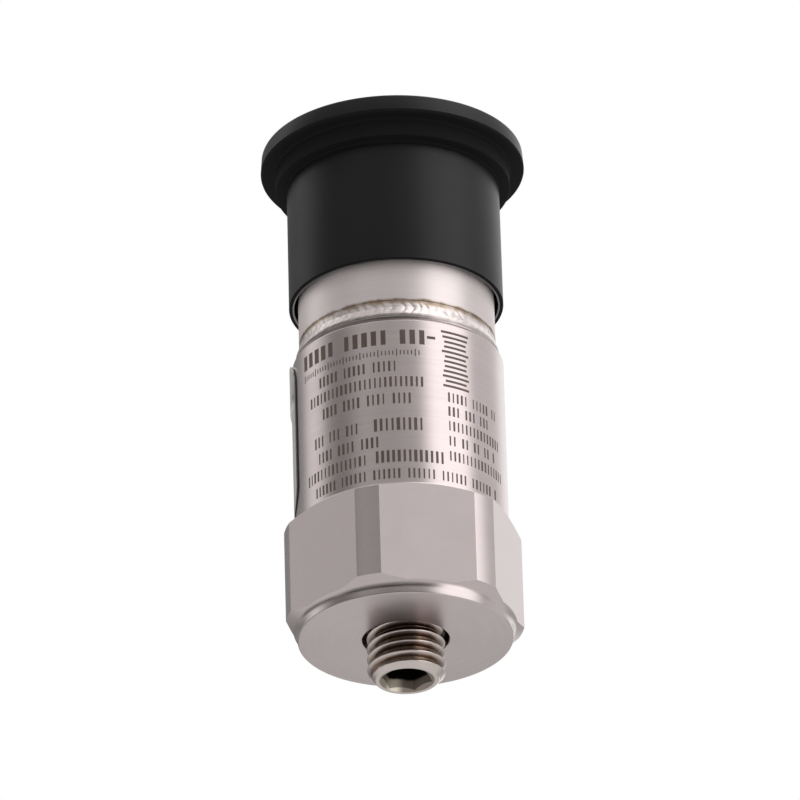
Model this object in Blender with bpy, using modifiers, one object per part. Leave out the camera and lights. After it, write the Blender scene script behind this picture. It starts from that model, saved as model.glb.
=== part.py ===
"""Stud-mounted industrial vibration sensor with a two-pin connector under a push-on protective cap.

The case is turned from hexagon bar. Its mounting face is at z = 0 and +Z runs along the axis to the cap.
Inside, a bolted stack of piezo-ceramic rings and a heavy mass stands in a shield can, insulated from the
case, with the amplifier board above it and the connector's glass-sealed pins above that.
All sizes are in metres.
"""

import math

import bmesh
import bpy
from mathutils import Matrix, Vector

# Clearance between pieces that seat on or in one another
GAP = 0.0003

# Case: a hexagon bar 11/16 in across flats, with its corners turned down, and the body above it
HEX_ACROSS_FLATS = 0.0174625
CORNER_RISE = 0.00082
HEX_CORNER_TOP = 0.00917
TOP_CHAMFER_ANGLE = math.radians(28)
BOTTOM_CHAMFER_ANGLE = math.radians(36)
FACE_INSET = 0.00013
FACE_HEIGHT = 0.0007
FACE_EDGE_RADIUS = 0.00014
BODY_INSET = 0.00021
SHOULDER_FILLET = 0.00015
CASE_WALL = 0.00162
FLOOR_WEB = 0.0022
RIM_EDGE_RADIUS = 0.00012

# Mounting stud, 1/4-28, and its blind hole
STUD_DIAMETER = 0.00625
STUD_CLEARANCE = 0.00035
STUD_PROTRUSION = 0.00355
STUD_END_CHAMFER = 0.0005
HOLE_DEPTH = 0.0063
DRILL_POINT_ANGLE = math.radians(31)
SOCKET_ACROSS_FLATS = 0.003175
SOCKET_DEPTH = 0.003
COUNTERSINK_DIAMETER = 0.0044
COUNTERSINK_ANGLE = math.radians(30)

# Sensing element, from the case wall inwards
SLEEVE_WALL = 0.00025
CAN_WALL = 0.0004
CAN_CORNER_RADIUS = 0.0006
STACK_ROOM = 0.00085
PIEZO_INSET = 0.0003
SCREW_DIAMETER = 0.0025
SCREW_HEAD_DIAMETER = 0.0044
SCREW_HEAD_HEIGHT = 0.0013
SCREW_HEAD_EDGE_RADIUS = 0.0002
SCREW_SOCKET_ACROSS_FLATS = 0.002
SCREW_SOCKET_DEPTH = 0.0007
SCREW_SLEEVE_WALL = 0.0003

# Sensing element, from the case floor upwards
ISOLATION_THICKNESS = 0.0007
ISOLATION_BORE = 0.003
INNER_BASE_THICKNESS = 0.0014
SCREW_ENGAGEMENT = 0.001
PIEZO_THICKNESS = 0.0009
ELECTRODE_THICKNESS = 0.0003
MASS_THICKNESS = 0.003
WASHER_THICKNESS = 0.0003
WASHER_DISH = 0.0002
HEADROOM = 0.0003
TAB_WIDTH = 0.0011
TAB_LENGTH = 0.0004

# Amplifier board above the shield can
SPACER_HEIGHT = 0.0014
SPACER_WALL = 0.0013
BOARD_THICKNESS = 0.0008
CHIP_SIZE = (0.003, 0.0024, 0.001)
CHIP_PLACE = (0.0, 0.0003)
CAPACITOR_SIZE = (0.0024, 0.0013, 0.0011)
CAPACITOR_PLACE = (0.0, 0.0035)
RESISTOR_SIZE = (0.0016, 0.0008, 0.0005)
RESISTOR_PLACES = {"resistor_a": (-0.0014, -0.0035), "resistor_b": (0.0014, -0.0035)}
COMPONENT_EDGE_RADIUS = 0.0001

# Wires
WIRE_DIAMETER = 0.00024
LEAD_HOLE_DIAMETER = 0.0012
SIGNAL_HOLE_RADIUS = 0.0034
LEAD_BULGE = 0.0004
PIN_LEAD_RADIUS = 0.0045
PIN_LEAD_OFFSET = -0.0012

# Connector: neck, weld and receptacle, 5/8-24 outside
SPIGOT_LENGTH = 0.00141
SPIGOT_WALL = 0.0007
NECK_INSET = 0.0005825
WELD_HEIGHT = 0.00175
WELD_DEPTH = 0.0006
WELD_TOE_INSET = 0.00008
WELD_THROAT = 0.00012
WELD_THROAT_HEIGHT = 0.0005
WELD_FILLET = 0.0008
COMPONENT_ROOM = 0.0039
LEDGE_THICKNESS = 0.0006
LEDGE_WIDTH = 0.0018
GLASS_THICKNESS = 0.0027
RECEPTACLE_DEPTH = 0.0086
RECEPTACLE_WALL = 0.0014375
RELIEF_WIDTH = 0.0009
RELIEF_DEPTH = 0.00055
THREAD_LENGTH = 0.0100
MOUTH_CHAMFER = 0.0004
KEYWAY_WIDTH = 0.0021
KEYWAY_DEPTH = 0.0007
KEYWAY_LENGTH = 0.0062

# Contact pins
PIN_DIAMETER = 0.0015875
PIN_SPACING = 0.00635
PIN_RECESS = 0.0014
PIN_TIP_RADIUS = 0.0005
PIN_TAIL = 0.0014
PIN_TAIL_DIAMETER = 0.001

# Protective cap
CAP_WALL = 0.00041
CAP_DRAFT = 0.00003
CAP_DEPTH = 0.012
CAP_TOP_WALL = 0.0019
FLANGE_OVERHANG = 0.00211
FLANGE_THICKNESS = 0.00155
FLANGE_DRAFT = 0.00012
STEP_OVERHANG = 0.00091
STEP_HEIGHT = 0.00153
CAP_EDGE_RADIUS = 0.00022
CAP_FILLET = 0.00035
LIP_CHAMFER = 0.0001

# Facets round the turned pieces, and along a rounded corner of their profiles
OUTER_STEPS = 48
INNER_STEPS = 24
PIN_STEPS = 16
ARC_STEPS = 2
WIRE_SPAN_POINTS = 5
TOOL_REACH = 0.001

# Case radii and heights
flat_r = HEX_ACROSS_FLATS / 2
corner_r = flat_r + CORNER_RISE
face_r = flat_r - FACE_INSET
body_r = flat_r - BODY_INSET
cavity_r = body_r - CASE_WALL
corner_low_z = FACE_HEIGHT + (corner_r - face_r) * math.tan(BOTTOM_CHAMFER_ANGLE)
shoulder_z = HEX_CORNER_TOP + (corner_r - body_r) * math.tan(TOP_CHAMFER_ANGLE)
stud_r = STUD_DIAMETER / 2
hole_r = stud_r + STUD_CLEARANCE
hole_tip_z = HOLE_DEPTH + hole_r * math.tan(DRILL_POINT_ANGLE)
floor_z = hole_tip_z + FLOOR_WEB

# Sensing element radii
sleeve_r = cavity_r - GAP
can_r = sleeve_r - SLEEVE_WALL - GAP
can_bore_r = can_r - CAN_WALL
inner_base_r = can_bore_r - GAP
mass_r = can_bore_r - STACK_ROOM
piezo_r = mass_r - PIEZO_INSET
screw_r = SCREW_DIAMETER / 2
screw_sleeve_bore_r = screw_r + GAP
screw_sleeve_r = screw_sleeve_bore_r + SCREW_SLEEVE_WALL
stack_bore_r = screw_sleeve_r + GAP
head_r = SCREW_HEAD_DIAMETER / 2

# Sensing element heights
isolation_z = floor_z + GAP
inner_base_z = isolation_z + ISOLATION_THICKNESS + GAP
inner_base_top_z = inner_base_z + INNER_BASE_THICKNESS
lower_piezo_z = inner_base_top_z + GAP
electrode_z = lower_piezo_z + PIEZO_THICKNESS + GAP
upper_piezo_z = electrode_z + ELECTRODE_THICKNESS + GAP
mass_z = upper_piezo_z + PIEZO_THICKNESS + GAP
washer_z = mass_z + MASS_THICKNESS + GAP
head_z = washer_z + WASHER_DISH + WASHER_THICKNESS + GAP
head_top_z = head_z + SCREW_HEAD_HEIGHT
can_ceiling_z = head_top_z + HEADROOM
can_top_z = can_ceiling_z + CAN_WALL

# Board heights
spacer_z = can_top_z + GAP
board_z = spacer_z + SPACER_HEIGHT + GAP
board_top_z = board_z + BOARD_THICKNESS
component_z = board_top_z + GAP

# Connector radii and heights
spigot_z = can_top_z + GAP
spigot_r = cavity_r - GAP
spigot_bore_r = spigot_r - SPIGOT_WALL
board_r = spigot_bore_r - GAP
rim_z = spigot_z + SPIGOT_LENGTH
neck_r = body_r - NECK_INSET
weld_z = rim_z + GAP
weld_top_z = rim_z + WELD_HEIGHT
weld_seat_r = neck_r - WELD_DEPTH
neck_z = weld_top_z + GAP
ledge_z = board_top_z + COMPONENT_ROOM
ledge_top_z = ledge_z + LEDGE_THICKNESS
receptacle_r = neck_r - RECEPTACLE_WALL
ledge_bore_r = receptacle_r - LEDGE_WIDTH
glass_z = ledge_top_z + GAP
glass_top_z = glass_z + GLASS_THICKNESS
mouth_z = glass_top_z + RECEPTACLE_DEPTH
relief_top_z = mouth_z - THREAD_LENGTH
pin_r = PIN_DIAMETER / 2
pin_hole_r = pin_r + GAP
pin_top_z = mouth_z - PIN_RECESS
pin_tail_z = glass_z - PIN_TAIL

# Cap radii and heights
cap_bore_r = neck_r + GAP
skirt_r = cap_bore_r + CAP_WALL
cap_ceiling_z = mouth_z + GAP
cap_top_z = cap_ceiling_z + CAP_TOP_WALL
cap_mouth_z = cap_ceiling_z - CAP_DEPTH
flange_z = cap_top_z - FLANGE_THICKNESS
step_z = flange_z - STEP_HEIGHT

# Base colour, roughness and metallic value of each finish
FINISHES = {
    "turned_steel": ((0.46, 0.43, 0.42), 0.32, 1.0),
    "stud_steel": ((0.58, 0.54, 0.50), 0.24, 1.0),
    "weld_metal": ((0.40, 0.34, 0.28), 0.35, 1.0),
    "cap_plastic": ((0.012, 0.013, 0.014), 0.42, 0.0),
    "seal_glass": ((0.10, 0.17, 0.13), 0.12, 0.0),
    "pin_gold": ((0.83, 0.60, 0.25), 0.22, 1.0),
    "alumina": ((0.85, 0.83, 0.78), 0.45, 0.0),
    "amber_film": ((0.55, 0.26, 0.05), 0.35, 0.0),
    "can_nickel": ((0.55, 0.52, 0.47), 0.28, 1.0),
    "piezo_ceramic": ((0.52, 0.47, 0.38), 0.60, 0.0),
    "electrode_brass": ((0.72, 0.52, 0.22), 0.30, 1.0),
    "tungsten": ((0.20, 0.20, 0.21), 0.38, 1.0),
    "spring_steel": ((0.35, 0.34, 0.34), 0.30, 1.0),
    "screw_steel": ((0.10, 0.10, 0.10), 0.40, 1.0),
    "white_nylon": ((0.80, 0.79, 0.74), 0.50, 0.0),
    "board_green": ((0.02, 0.14, 0.06), 0.45, 0.0),
    "chip_black": ((0.02, 0.02, 0.02), 0.50, 0.0),
    "capacitor_amber": ((0.60, 0.33, 0.04), 0.40, 0.0),
    "resistor_blue": ((0.05, 0.07, 0.12), 0.40, 0.0),
    "wire_red": ((0.50, 0.03, 0.02), 0.40, 0.0),
    "wire_white": ((0.75, 0.74, 0.70), 0.40, 0.0),
}


def clear_scene():
    """Removes everything that the file starts with."""
    for obj in list(bpy.data.objects):
        bpy.data.objects.remove(obj, do_unlink=True)


def new_collection(name):
    """A collection linked to the scene."""
    collection = bpy.data.collections.new(name)
    bpy.context.scene.collection.children.link(collection)
    return collection


def give_material(obj, finish):
    """Gives a piece its own material with the colour, roughness and metallic value of a finish."""
    color, roughness, metallic = FINISHES[finish]
    material = bpy.data.materials.new(obj.name + "_" + finish)
    material.use_nodes = True
    shader = material.node_tree.nodes["Principled BSDF"]
    shader.inputs["Base Color"].default_value = (*color, 1.0)
    shader.inputs["Roughness"].default_value = roughness
    shader.inputs["Metallic"].default_value = metallic
    obj.data.materials.clear()
    obj.data.materials.append(material)


def outline(*corners):
    """A profile from corners (radius, height) or (radius, height, fillet), as a list of (radius, height) points.

    A fillet takes at most 45% of the shorter side at its corner.
    """
    points = []
    for index, corner in enumerate(corners):
        here = Vector(corner[:2])
        if len(corner) == 2:
            points.append(tuple(here))
            continue
        before = Vector(corners[index - 1][:2]) - here
        after = Vector(corners[(index + 1) % len(corners)][:2]) - here
        half_angle = before.angle(after) / 2
        reach = min(corner[2] / math.tan(half_angle), 0.45 * before.length, 0.45 * after.length)
        radius = reach * math.tan(half_angle)
        middle = (before.normalized() + after.normalized()).normalized()
        centre = here + middle * radius / math.sin(half_angle)
        start_arm = here + before.normalized() * reach - centre
        end_arm = here + after.normalized() * reach - centre
        for step in range(ARC_STEPS + 1):
            arm = start_arm.lerp(end_arm, step / ARC_STEPS).normalized() * radius
            points.append(tuple(centre + arm))
    return points


def turned(name, profile, finish, collection, steps=OUTER_STEPS):
    """A piece turned about its Z axis from a profile of (radius, height) points.

    The profile runs down the outer side. One that starts and ends on the axis makes a solid of revolution,
    and any other is closed into a ring.
    """
    on_axis = profile[0][0] == 0 and profile[-1][0] == 0
    count = len(profile)
    edges = [(index, index + 1) for index in range(count - 1)]
    if not on_axis:
        edges.append((count - 1, 0))
    mesh = bpy.data.meshes.new(name)
    mesh.from_pydata([(radius, 0.0, height) for radius, height in profile], edges, [])
    obj = bpy.data.objects.new(name, mesh)
    collection.objects.link(obj)
    if finish:
        give_material(obj, finish)
    screw = obj.modifiers.new("turn", "SCREW")
    screw.angle = math.tau
    screw.steps = steps
    screw.render_steps = steps
    screw.use_merge_vertices = True
    screw.merge_threshold = 0.00001
    screw.use_smooth_shade = True
    return obj


def prism(name, across_flats, bottom, top, collection):
    """A hexagonal prism along Z with two of its flats facing -Y and +Y."""
    mesh = bpy.data.meshes.new(name)
    shape = bmesh.new()
    corner = across_flats / math.sqrt(3)
    place = Matrix.Translation((0.0, 0.0, (bottom + top) / 2))
    bmesh.ops.create_cone(shape, cap_ends=True, segments=6, radius1=corner, radius2=corner,
                          depth=top - bottom, matrix=place)
    shape.verts.ensure_lookup_table()
    first = shape.verts[0].co
    turn = Matrix.Rotation(-math.atan2(first.y, first.x), 3, "Z")
    bmesh.ops.rotate(shape, verts=shape.verts, cent=(0, 0, 0), matrix=turn)
    shape.to_mesh(mesh)
    shape.free()
    obj = bpy.data.objects.new(name, mesh)
    collection.objects.link(obj)
    return obj


def block(name, size, place, collection, finish=None, edge_radius=0.0):
    """A box of a size whose lowest face is centred on a place, with its edges rounded if a radius is given."""
    mesh = bpy.data.meshes.new(name)
    shape = bmesh.new()
    centre = (0.0, 0.0, size[2] / 2)
    bmesh.ops.create_cube(shape, size=1.0, matrix=Matrix.Translation(centre) @ Matrix.Diagonal((*size, 1.0)))
    shape.to_mesh(mesh)
    shape.free()
    obj = bpy.data.objects.new(name, mesh)
    obj.location = place
    collection.objects.link(obj)
    if finish:
        give_material(obj, finish)
    if edge_radius:
        bevel = obj.modifiers.new("edges", "BEVEL")
        bevel.width = edge_radius
        bevel.segments = 2
    return obj


def rod(name, radius, bottom, top, place, collection, steps=INNER_STEPS):
    """A plain round tool along Z, for holes."""
    obj = turned(name, [(0.0, top), (radius, top), (radius, bottom), (0.0, bottom)], None, collection, steps)
    obj.location = (place[0], place[1], 0.0)
    return obj


def combine(obj, tool, operation):
    """Joins, cuts or intersects a piece with a tool, which then shows only as wires."""
    boolean = obj.modifiers.new(tool.name, "BOOLEAN")
    boolean.operation = operation
    boolean.object = tool
    boolean.solver = "EXACT"
    tool.hide_render = True
    tool.display_type = "WIRE"


def smooth_route(points):
    """Points on a smooth curve through a wire's own points."""
    route = []
    count = len(points)
    for index in range(count - 1):
        a = Vector(points[max(index - 1, 0)])
        b = Vector(points[index])
        c = Vector(points[index + 1])
        d = Vector(points[min(index + 2, count - 1)])
        for step in range(WIRE_SPAN_POINTS):
            t = step / WIRE_SPAN_POINTS
            bend = (2 * a - 5 * b + 4 * c - d) * t ** 2 + (3 * b - a - 3 * c + d) * t ** 3
            route.append((2 * b + (c - a) * t + bend) / 2)
    route.append(Vector(points[-1]))
    return route


def wire(name, points, finish, collection):
    """A round wire through a few points."""
    curve = bpy.data.curves.new(name, "CURVE")
    curve.dimensions = "3D"
    curve.bevel_depth = WIRE_DIAMETER / 2
    curve.bevel_resolution = 2
    curve.use_fill_caps = True
    route = smooth_route(points)
    spline = curve.splines.new("POLY")
    spline.points.add(len(route) - 1)
    for point, place in zip(spline.points, route):
        point.co = (*place, 1.0)
    obj = bpy.data.objects.new(name, curve)
    collection.objects.link(obj)
    give_material(obj, finish)
    return obj


def ring(bore_r, outer_r, bottom, height, edge_radius=0.0):
    """The profile of a plain ring, or of a disc where the bore is zero."""
    top = bottom + height
    edge = (edge_radius,) if edge_radius else ()
    if bore_r == 0:
        return outline((0.0, top), (outer_r, top, *edge), (outer_r, bottom, *edge), (0.0, bottom))
    return outline((bore_r, top), (outer_r, top, *edge), (outer_r, bottom, *edge), (bore_r, bottom))


def build_case(parts, tools):
    """The case: body and hexagonal base in one, with the cavity above and the stud's blind hole below."""
    profile = outline(
        (0.0, floor_z),
        (cavity_r, floor_z, SHOULDER_FILLET),
        (cavity_r, rim_z),
        (body_r, rim_z, RIM_EDGE_RADIUS),
        (body_r, shoulder_z, SHOULDER_FILLET),
        (corner_r, HEX_CORNER_TOP),
        (corner_r, corner_low_z),
        (face_r, FACE_HEIGHT),
        (face_r, 0.0, FACE_EDGE_RADIUS),
        (hole_r, 0.0),
        (hole_r, HOLE_DEPTH),
        (0.0, hole_tip_z),
    )
    case = turned("base_housing", profile, "turned_steel", parts)
    flats = prism("hexagon_flats", HEX_ACROSS_FLATS, -TOOL_REACH, rim_z + TOOL_REACH, tools)
    combine(case, flats, "INTERSECT")


def build_stud(parts, tools):
    """The stud, a socket set screw that stands in the blind hole."""
    top_z = HOLE_DEPTH - GAP
    tip_z = -STUD_PROTRUSION
    end_r = stud_r - STUD_END_CHAMFER
    countersink_r = COUNTERSINK_DIAMETER / 2
    profile = outline(
        (0.0, top_z),
        (end_r, top_z),
        (stud_r, top_z - STUD_END_CHAMFER),
        (stud_r, tip_z + STUD_END_CHAMFER),
        (end_r, tip_z),
        (countersink_r, tip_z),
        (0.0, tip_z + countersink_r * math.tan(COUNTERSINK_ANGLE)),
    )
    stud = turned("mounting_stud", profile, "stud_steel", parts)
    socket = prism("stud_socket", SOCKET_ACROSS_FLATS, tip_z - TOOL_REACH, tip_z + SOCKET_DEPTH, tools)
    combine(stud, socket, "DIFFERENCE")


def build_weld(parts):
    """The weld bead between the case's rim and the neck, hollow between its toe and the neck."""
    bore_r = weld_seat_r + GAP
    profile = outline(
        (bore_r, weld_top_z),
        (neck_r, weld_top_z),
        (neck_r + WELD_THROAT, weld_z + WELD_THROAT_HEIGHT, WELD_FILLET),
        (body_r - WELD_TOE_INSET, weld_z),
        (bore_r, weld_z),
    )
    turned("closure_weld", profile, "weld_metal", parts)


def build_connector(parts, tools):
    """The neck and its receptacle in one turned shell, with a keyway, the glass seal and two pins."""
    relief_r = neck_r - RELIEF_DEPTH
    profile = outline(
        (receptacle_r, mouth_z),
        (neck_r - MOUTH_CHAMFER, mouth_z),
        (neck_r, mouth_z - MOUTH_CHAMFER),
        (neck_r, relief_top_z),
        (relief_r, relief_top_z),
        (relief_r, relief_top_z - RELIEF_WIDTH),
        (neck_r, relief_top_z - RELIEF_WIDTH),
        (neck_r, neck_z),
        (weld_seat_r, neck_z),
        (weld_seat_r, rim_z + GAP),
        (spigot_r, rim_z + GAP),
        (spigot_r, spigot_z),
        (spigot_bore_r, spigot_z),
        (spigot_bore_r, ledge_z),
        (ledge_bore_r, ledge_z),
        (ledge_bore_r, ledge_top_z),
        (receptacle_r, ledge_top_z),
    )
    shell = turned("connector_shell", profile, "turned_steel", parts)
    keyway_size = (KEYWAY_WIDTH, receptacle_r, KEYWAY_LENGTH + TOOL_REACH)
    keyway_place = (0.0, receptacle_r / 2 + KEYWAY_DEPTH, mouth_z - KEYWAY_LENGTH)
    combine(shell, block("keyway", keyway_size, keyway_place, tools), "DIFFERENCE")

    seal = turned("glass_seal", ring(0.0, receptacle_r - GAP, glass_z, GLASS_THICKNESS), "seal_glass", parts)
    for side, letter in ((-1, "a"), (1, "b")):
        place = (side * PIN_SPACING / 2, 0.0)
        hole = rod("pin_hole_" + letter, pin_hole_r, glass_z - TOOL_REACH, glass_top_z + TOOL_REACH, place,
                   tools, PIN_STEPS)
        combine(seal, hole, "DIFFERENCE")
        build_pin("contact_pin_" + letter, place, parts)


def build_pin(name, place, parts):
    """A contact pin with a rounded tip and a thinner solder tail."""
    tail_r = PIN_TAIL_DIAMETER / 2
    profile = outline(
        (0.0, pin_top_z),
        (pin_r, pin_top_z, PIN_TIP_RADIUS),
        (pin_r, glass_z),
        (tail_r, glass_z),
        (tail_r, pin_tail_z),
        (0.0, pin_tail_z),
    )
    pin = turned(name, profile, "pin_gold", parts, PIN_STEPS)
    pin.location = (place[0], place[1], 0.0)


def build_cap(parts):
    """The moulded cap: a thin skirt with a step ring and a wide flange at its closed end."""
    flange_r = skirt_r + FLANGE_OVERHANG
    step_r = skirt_r + STEP_OVERHANG
    profile = outline(
        (0.0, cap_top_z),
        (flange_r - FLANGE_DRAFT, cap_top_z, CAP_EDGE_RADIUS),
        (flange_r, flange_z, CAP_EDGE_RADIUS / 2),
        (step_r, flange_z),
        (step_r, step_z, CAP_EDGE_RADIUS),
        (skirt_r, step_z, CAP_FILLET),
        (skirt_r + CAP_DRAFT, cap_mouth_z, CAP_EDGE_RADIUS / 2),
        (cap_bore_r + LIP_CHAMFER, cap_mouth_z),
        (cap_bore_r, cap_mouth_z + LIP_CHAMFER),
        (cap_bore_r, cap_ceiling_z, CAP_EDGE_RADIUS),
        (0.0, cap_ceiling_z),
    )
    turned("dust_cap", profile, "cap_plastic", parts)


def build_insulation(parts, tools):
    """The isolation disc and sleeve, and the shield can that stands on the disc."""
    turned("isolation_disc", ring(ISOLATION_BORE / 2, sleeve_r, isolation_z, ISOLATION_THICKNESS), "alumina",
           parts, INNER_STEPS)
    sleeve_height = can_ceiling_z - inner_base_z
    turned("insulating_sleeve", ring(sleeve_r - SLEEVE_WALL, sleeve_r, inner_base_z, sleeve_height),
           "amber_film", parts, INNER_STEPS)
    profile = outline(
        (0.0, can_top_z),
        (can_r, can_top_z, CAN_CORNER_RADIUS),
        (can_r, inner_base_z),
        (can_bore_r, inner_base_z),
        (can_bore_r, can_ceiling_z),
        (0.0, can_ceiling_z),
    )
    can = turned("shield_can", profile, "can_nickel", parts, INNER_STEPS)
    hole = rod("can_hole", LEAD_HOLE_DIAMETER / 2, can_ceiling_z - TOOL_REACH, can_top_z + TOOL_REACH,
               (SIGNAL_HOLE_RADIUS, 0.0), tools, PIN_STEPS)
    combine(can, hole, "DIFFERENCE")


def build_stack(parts, tools):
    """The sensing stack: foot, piezo rings, electrode and mass, clamped by the preload screw."""
    screw_foot_z = inner_base_top_z - SCREW_ENGAGEMENT
    thread_hole_r = screw_r + GAP
    profile = outline(
        (0.0, screw_foot_z - GAP),
        (thread_hole_r, screw_foot_z - GAP),
        (thread_hole_r, inner_base_top_z),
        (inner_base_r, inner_base_top_z),
        (inner_base_r, inner_base_z),
        (0.0, inner_base_z),
    )
    turned("inner_base", profile, "turned_steel", parts, INNER_STEPS)
    piezo = {"piezo_disc_lower": lower_piezo_z, "piezo_disc_upper": upper_piezo_z}
    for name, height in piezo.items():
        turned(name, ring(stack_bore_r, piezo_r, height, PIEZO_THICKNESS), "piezo_ceramic", parts, INNER_STEPS)

    electrode = turned("signal_electrode", ring(stack_bore_r, piezo_r, electrode_z, ELECTRODE_THICKNESS),
                       "electrode_brass", parts, INNER_STEPS)
    tab_start = (stack_bore_r + piezo_r) / 2
    tab_end = mass_r + TAB_LENGTH
    tab_size = (tab_end - tab_start, TAB_WIDTH, ELECTRODE_THICKNESS)
    tab = block("electrode_tab", tab_size, ((tab_start + tab_end) / 2, 0.0, electrode_z), tools)
    combine(electrode, tab, "UNION")

    turned("seismic_mass", ring(stack_bore_r, mass_r, mass_z, MASS_THICKNESS), "tungsten", parts, INNER_STEPS)
    build_spring_washer(parts)
    build_preload_screw(screw_foot_z, parts, tools)
    sleeve_height = mass_z + MASS_THICKNESS - lower_piezo_z
    turned("screw_sleeve", ring(screw_sleeve_bore_r, screw_sleeve_r, lower_piezo_z, sleeve_height),
           "white_nylon", parts, INNER_STEPS)


def build_spring_washer(parts):
    """The conical washer between the screw's head and the mass."""
    bore_r = screw_r + GAP
    outer_r = head_r + GAP
    profile = outline(
        (bore_r, washer_z + WASHER_DISH + WASHER_THICKNESS),
        (outer_r, washer_z + WASHER_THICKNESS),
        (outer_r, washer_z),
        (bore_r, washer_z + WASHER_DISH),
    )
    turned("spring_washer", profile, "spring_steel", parts, INNER_STEPS)


def build_preload_screw(foot_z, parts, tools):
    """The socket-head screw that clamps the stack to the foot."""
    profile = outline(
        (0.0, head_top_z),
        (head_r, head_top_z, SCREW_HEAD_EDGE_RADIUS),
        (head_r, head_z),
        (screw_r, head_z),
        (screw_r, foot_z),
        (0.0, foot_z),
    )
    screw = turned("preload_screw", profile, "screw_steel", parts, INNER_STEPS)
    socket = prism("screw_socket", SCREW_SOCKET_ACROSS_FLATS, head_top_z - SCREW_SOCKET_DEPTH,
                   head_top_z + TOOL_REACH, tools)
    combine(screw, socket, "DIFFERENCE")


def build_board(parts, tools):
    """The amplifier: a spacer ring on the can, the round board and what is soldered to it."""
    turned("board_spacer", ring(board_r - SPACER_WALL, board_r, spacer_z, SPACER_HEIGHT), "white_nylon",
           parts, INNER_STEPS)
    board = turned("circuit_board", ring(0.0, board_r, board_z, BOARD_THICKNESS), "board_green", parts,
                   INNER_STEPS)
    hole = rod("board_hole", LEAD_HOLE_DIAMETER / 2, board_z - TOOL_REACH, board_top_z + TOOL_REACH,
               (SIGNAL_HOLE_RADIUS, 0.0), tools, PIN_STEPS)
    combine(board, hole, "DIFFERENCE")
    block("amplifier_chip", CHIP_SIZE, (*CHIP_PLACE, component_z), parts, "chip_black", COMPONENT_EDGE_RADIUS)
    block("coupling_capacitor", CAPACITOR_SIZE, (*CAPACITOR_PLACE, component_z), parts, "capacitor_amber",
          COMPONENT_EDGE_RADIUS)
    for name, place in RESISTOR_PLACES.items():
        block(name, RESISTOR_SIZE, (*place, component_z), parts, "resistor_blue", COMPONENT_EDGE_RADIUS)


def build_leads(parts):
    """The wires from the electrode and the can to the board, and from the board to the pins."""
    clear = GAP + WIRE_DIAMETER / 2
    riser = (mass_r + can_bore_r) / 2
    tab_top = electrode_z + ELECTRODE_THICKNESS
    wire("signal_lead", [
        (riser, 0.0, tab_top + clear),
        (riser, 0.0, mass_z + MASS_THICKNESS),
        (riser, 0.0, head_z),
        (SIGNAL_HOLE_RADIUS, 0.0, can_ceiling_z),
        (SIGNAL_HOLE_RADIUS, 0.0, board_top_z + clear),
    ], "wire_red", parts)
    wire("ground_lead", [
        (-SIGNAL_HOLE_RADIUS, 0.0, can_top_z + clear),
        (-SIGNAL_HOLE_RADIUS + LEAD_BULGE, 0.0, (can_top_z + board_z) / 2),
        (-SIGNAL_HOLE_RADIUS, 0.0, board_z - clear),
    ], "wire_white", parts)
    middle_z = (component_z + pin_tail_z) / 2
    for side, letter, finish in ((-1, "a", "wire_white"), (1, "b", "wire_red")):
        wire("pin_lead_" + letter, [
            (side * PIN_LEAD_RADIUS, PIN_LEAD_OFFSET, board_top_z + clear),
            (side * PIN_LEAD_RADIUS, PIN_LEAD_OFFSET, middle_z),
            (side * PIN_SPACING / 2, 0.0, pin_tail_z - clear),
        ], finish, parts)


def build():
    """Builds the whole sensor."""
    clear_scene()
    parts = new_collection("vibration_sensor")
    tools = new_collection("cutters")
    build_case(parts, tools)
    build_stud(parts, tools)
    build_weld(parts)
    build_connector(parts, tools)
    build_cap(parts)
    build_insulation(parts, tools)
    build_stack(parts, tools)
    build_board(parts, tools)
    build_leads(parts)


build()
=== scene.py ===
"""Looks of a stud-mounted vibration sensor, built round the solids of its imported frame.

The frame gives the radii and heights that the solids have. The classes below add the rest: the milled
hexagon, the cut threads, the rippled weld, the moulded cap, the etched marks and the finish of every surface.
Places are in metres, with +Z from the mounting face to the cap. An azimuth is an angle round the axis,
measured from -Y towards +X. Materials work in millimetres.
"""

import logging
import math
from dataclasses import dataclass
from enum import Enum
from functools import cache
from typing import Callable, ClassVar, Optional, Sequence, Union

import bmesh
import bpy
import numpy as np
from mathutils import Matrix, Vector


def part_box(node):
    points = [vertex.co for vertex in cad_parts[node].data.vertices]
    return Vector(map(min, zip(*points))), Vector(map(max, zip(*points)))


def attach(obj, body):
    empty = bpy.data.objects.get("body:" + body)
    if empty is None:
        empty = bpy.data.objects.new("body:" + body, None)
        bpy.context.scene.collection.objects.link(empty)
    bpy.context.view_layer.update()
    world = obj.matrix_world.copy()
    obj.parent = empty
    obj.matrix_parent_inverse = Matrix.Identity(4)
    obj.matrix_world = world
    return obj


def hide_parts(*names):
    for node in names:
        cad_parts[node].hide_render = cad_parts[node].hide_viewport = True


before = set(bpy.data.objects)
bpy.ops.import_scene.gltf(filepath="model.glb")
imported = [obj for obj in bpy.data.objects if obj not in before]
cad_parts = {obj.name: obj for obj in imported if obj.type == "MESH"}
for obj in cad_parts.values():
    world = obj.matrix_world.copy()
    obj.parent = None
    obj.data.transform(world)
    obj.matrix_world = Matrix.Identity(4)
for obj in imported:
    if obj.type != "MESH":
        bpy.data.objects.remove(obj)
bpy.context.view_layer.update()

LOG = logging.getLogger("vibration_sensor")
MM = 0.001
TURN = math.tau
SIXTH = TURN / 6
MERGE_DISTANCE = 1e-7
SHARP_ANGLE = math.radians(28)
MOST_FILLET_SHARE = 0.45
CAMERA_AZIMUTH = math.radians(-13.2)
STRETCH_TURN = 0.25
NOISE_ROUGHNESS = 0.55

Value = Union[float, int, tuple, "Term"]
Colour = tuple[float, float, float]


class Body(Enum):
    """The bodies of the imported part."""

    SENSOR = "sensor"
    CAP = "cap"


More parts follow.
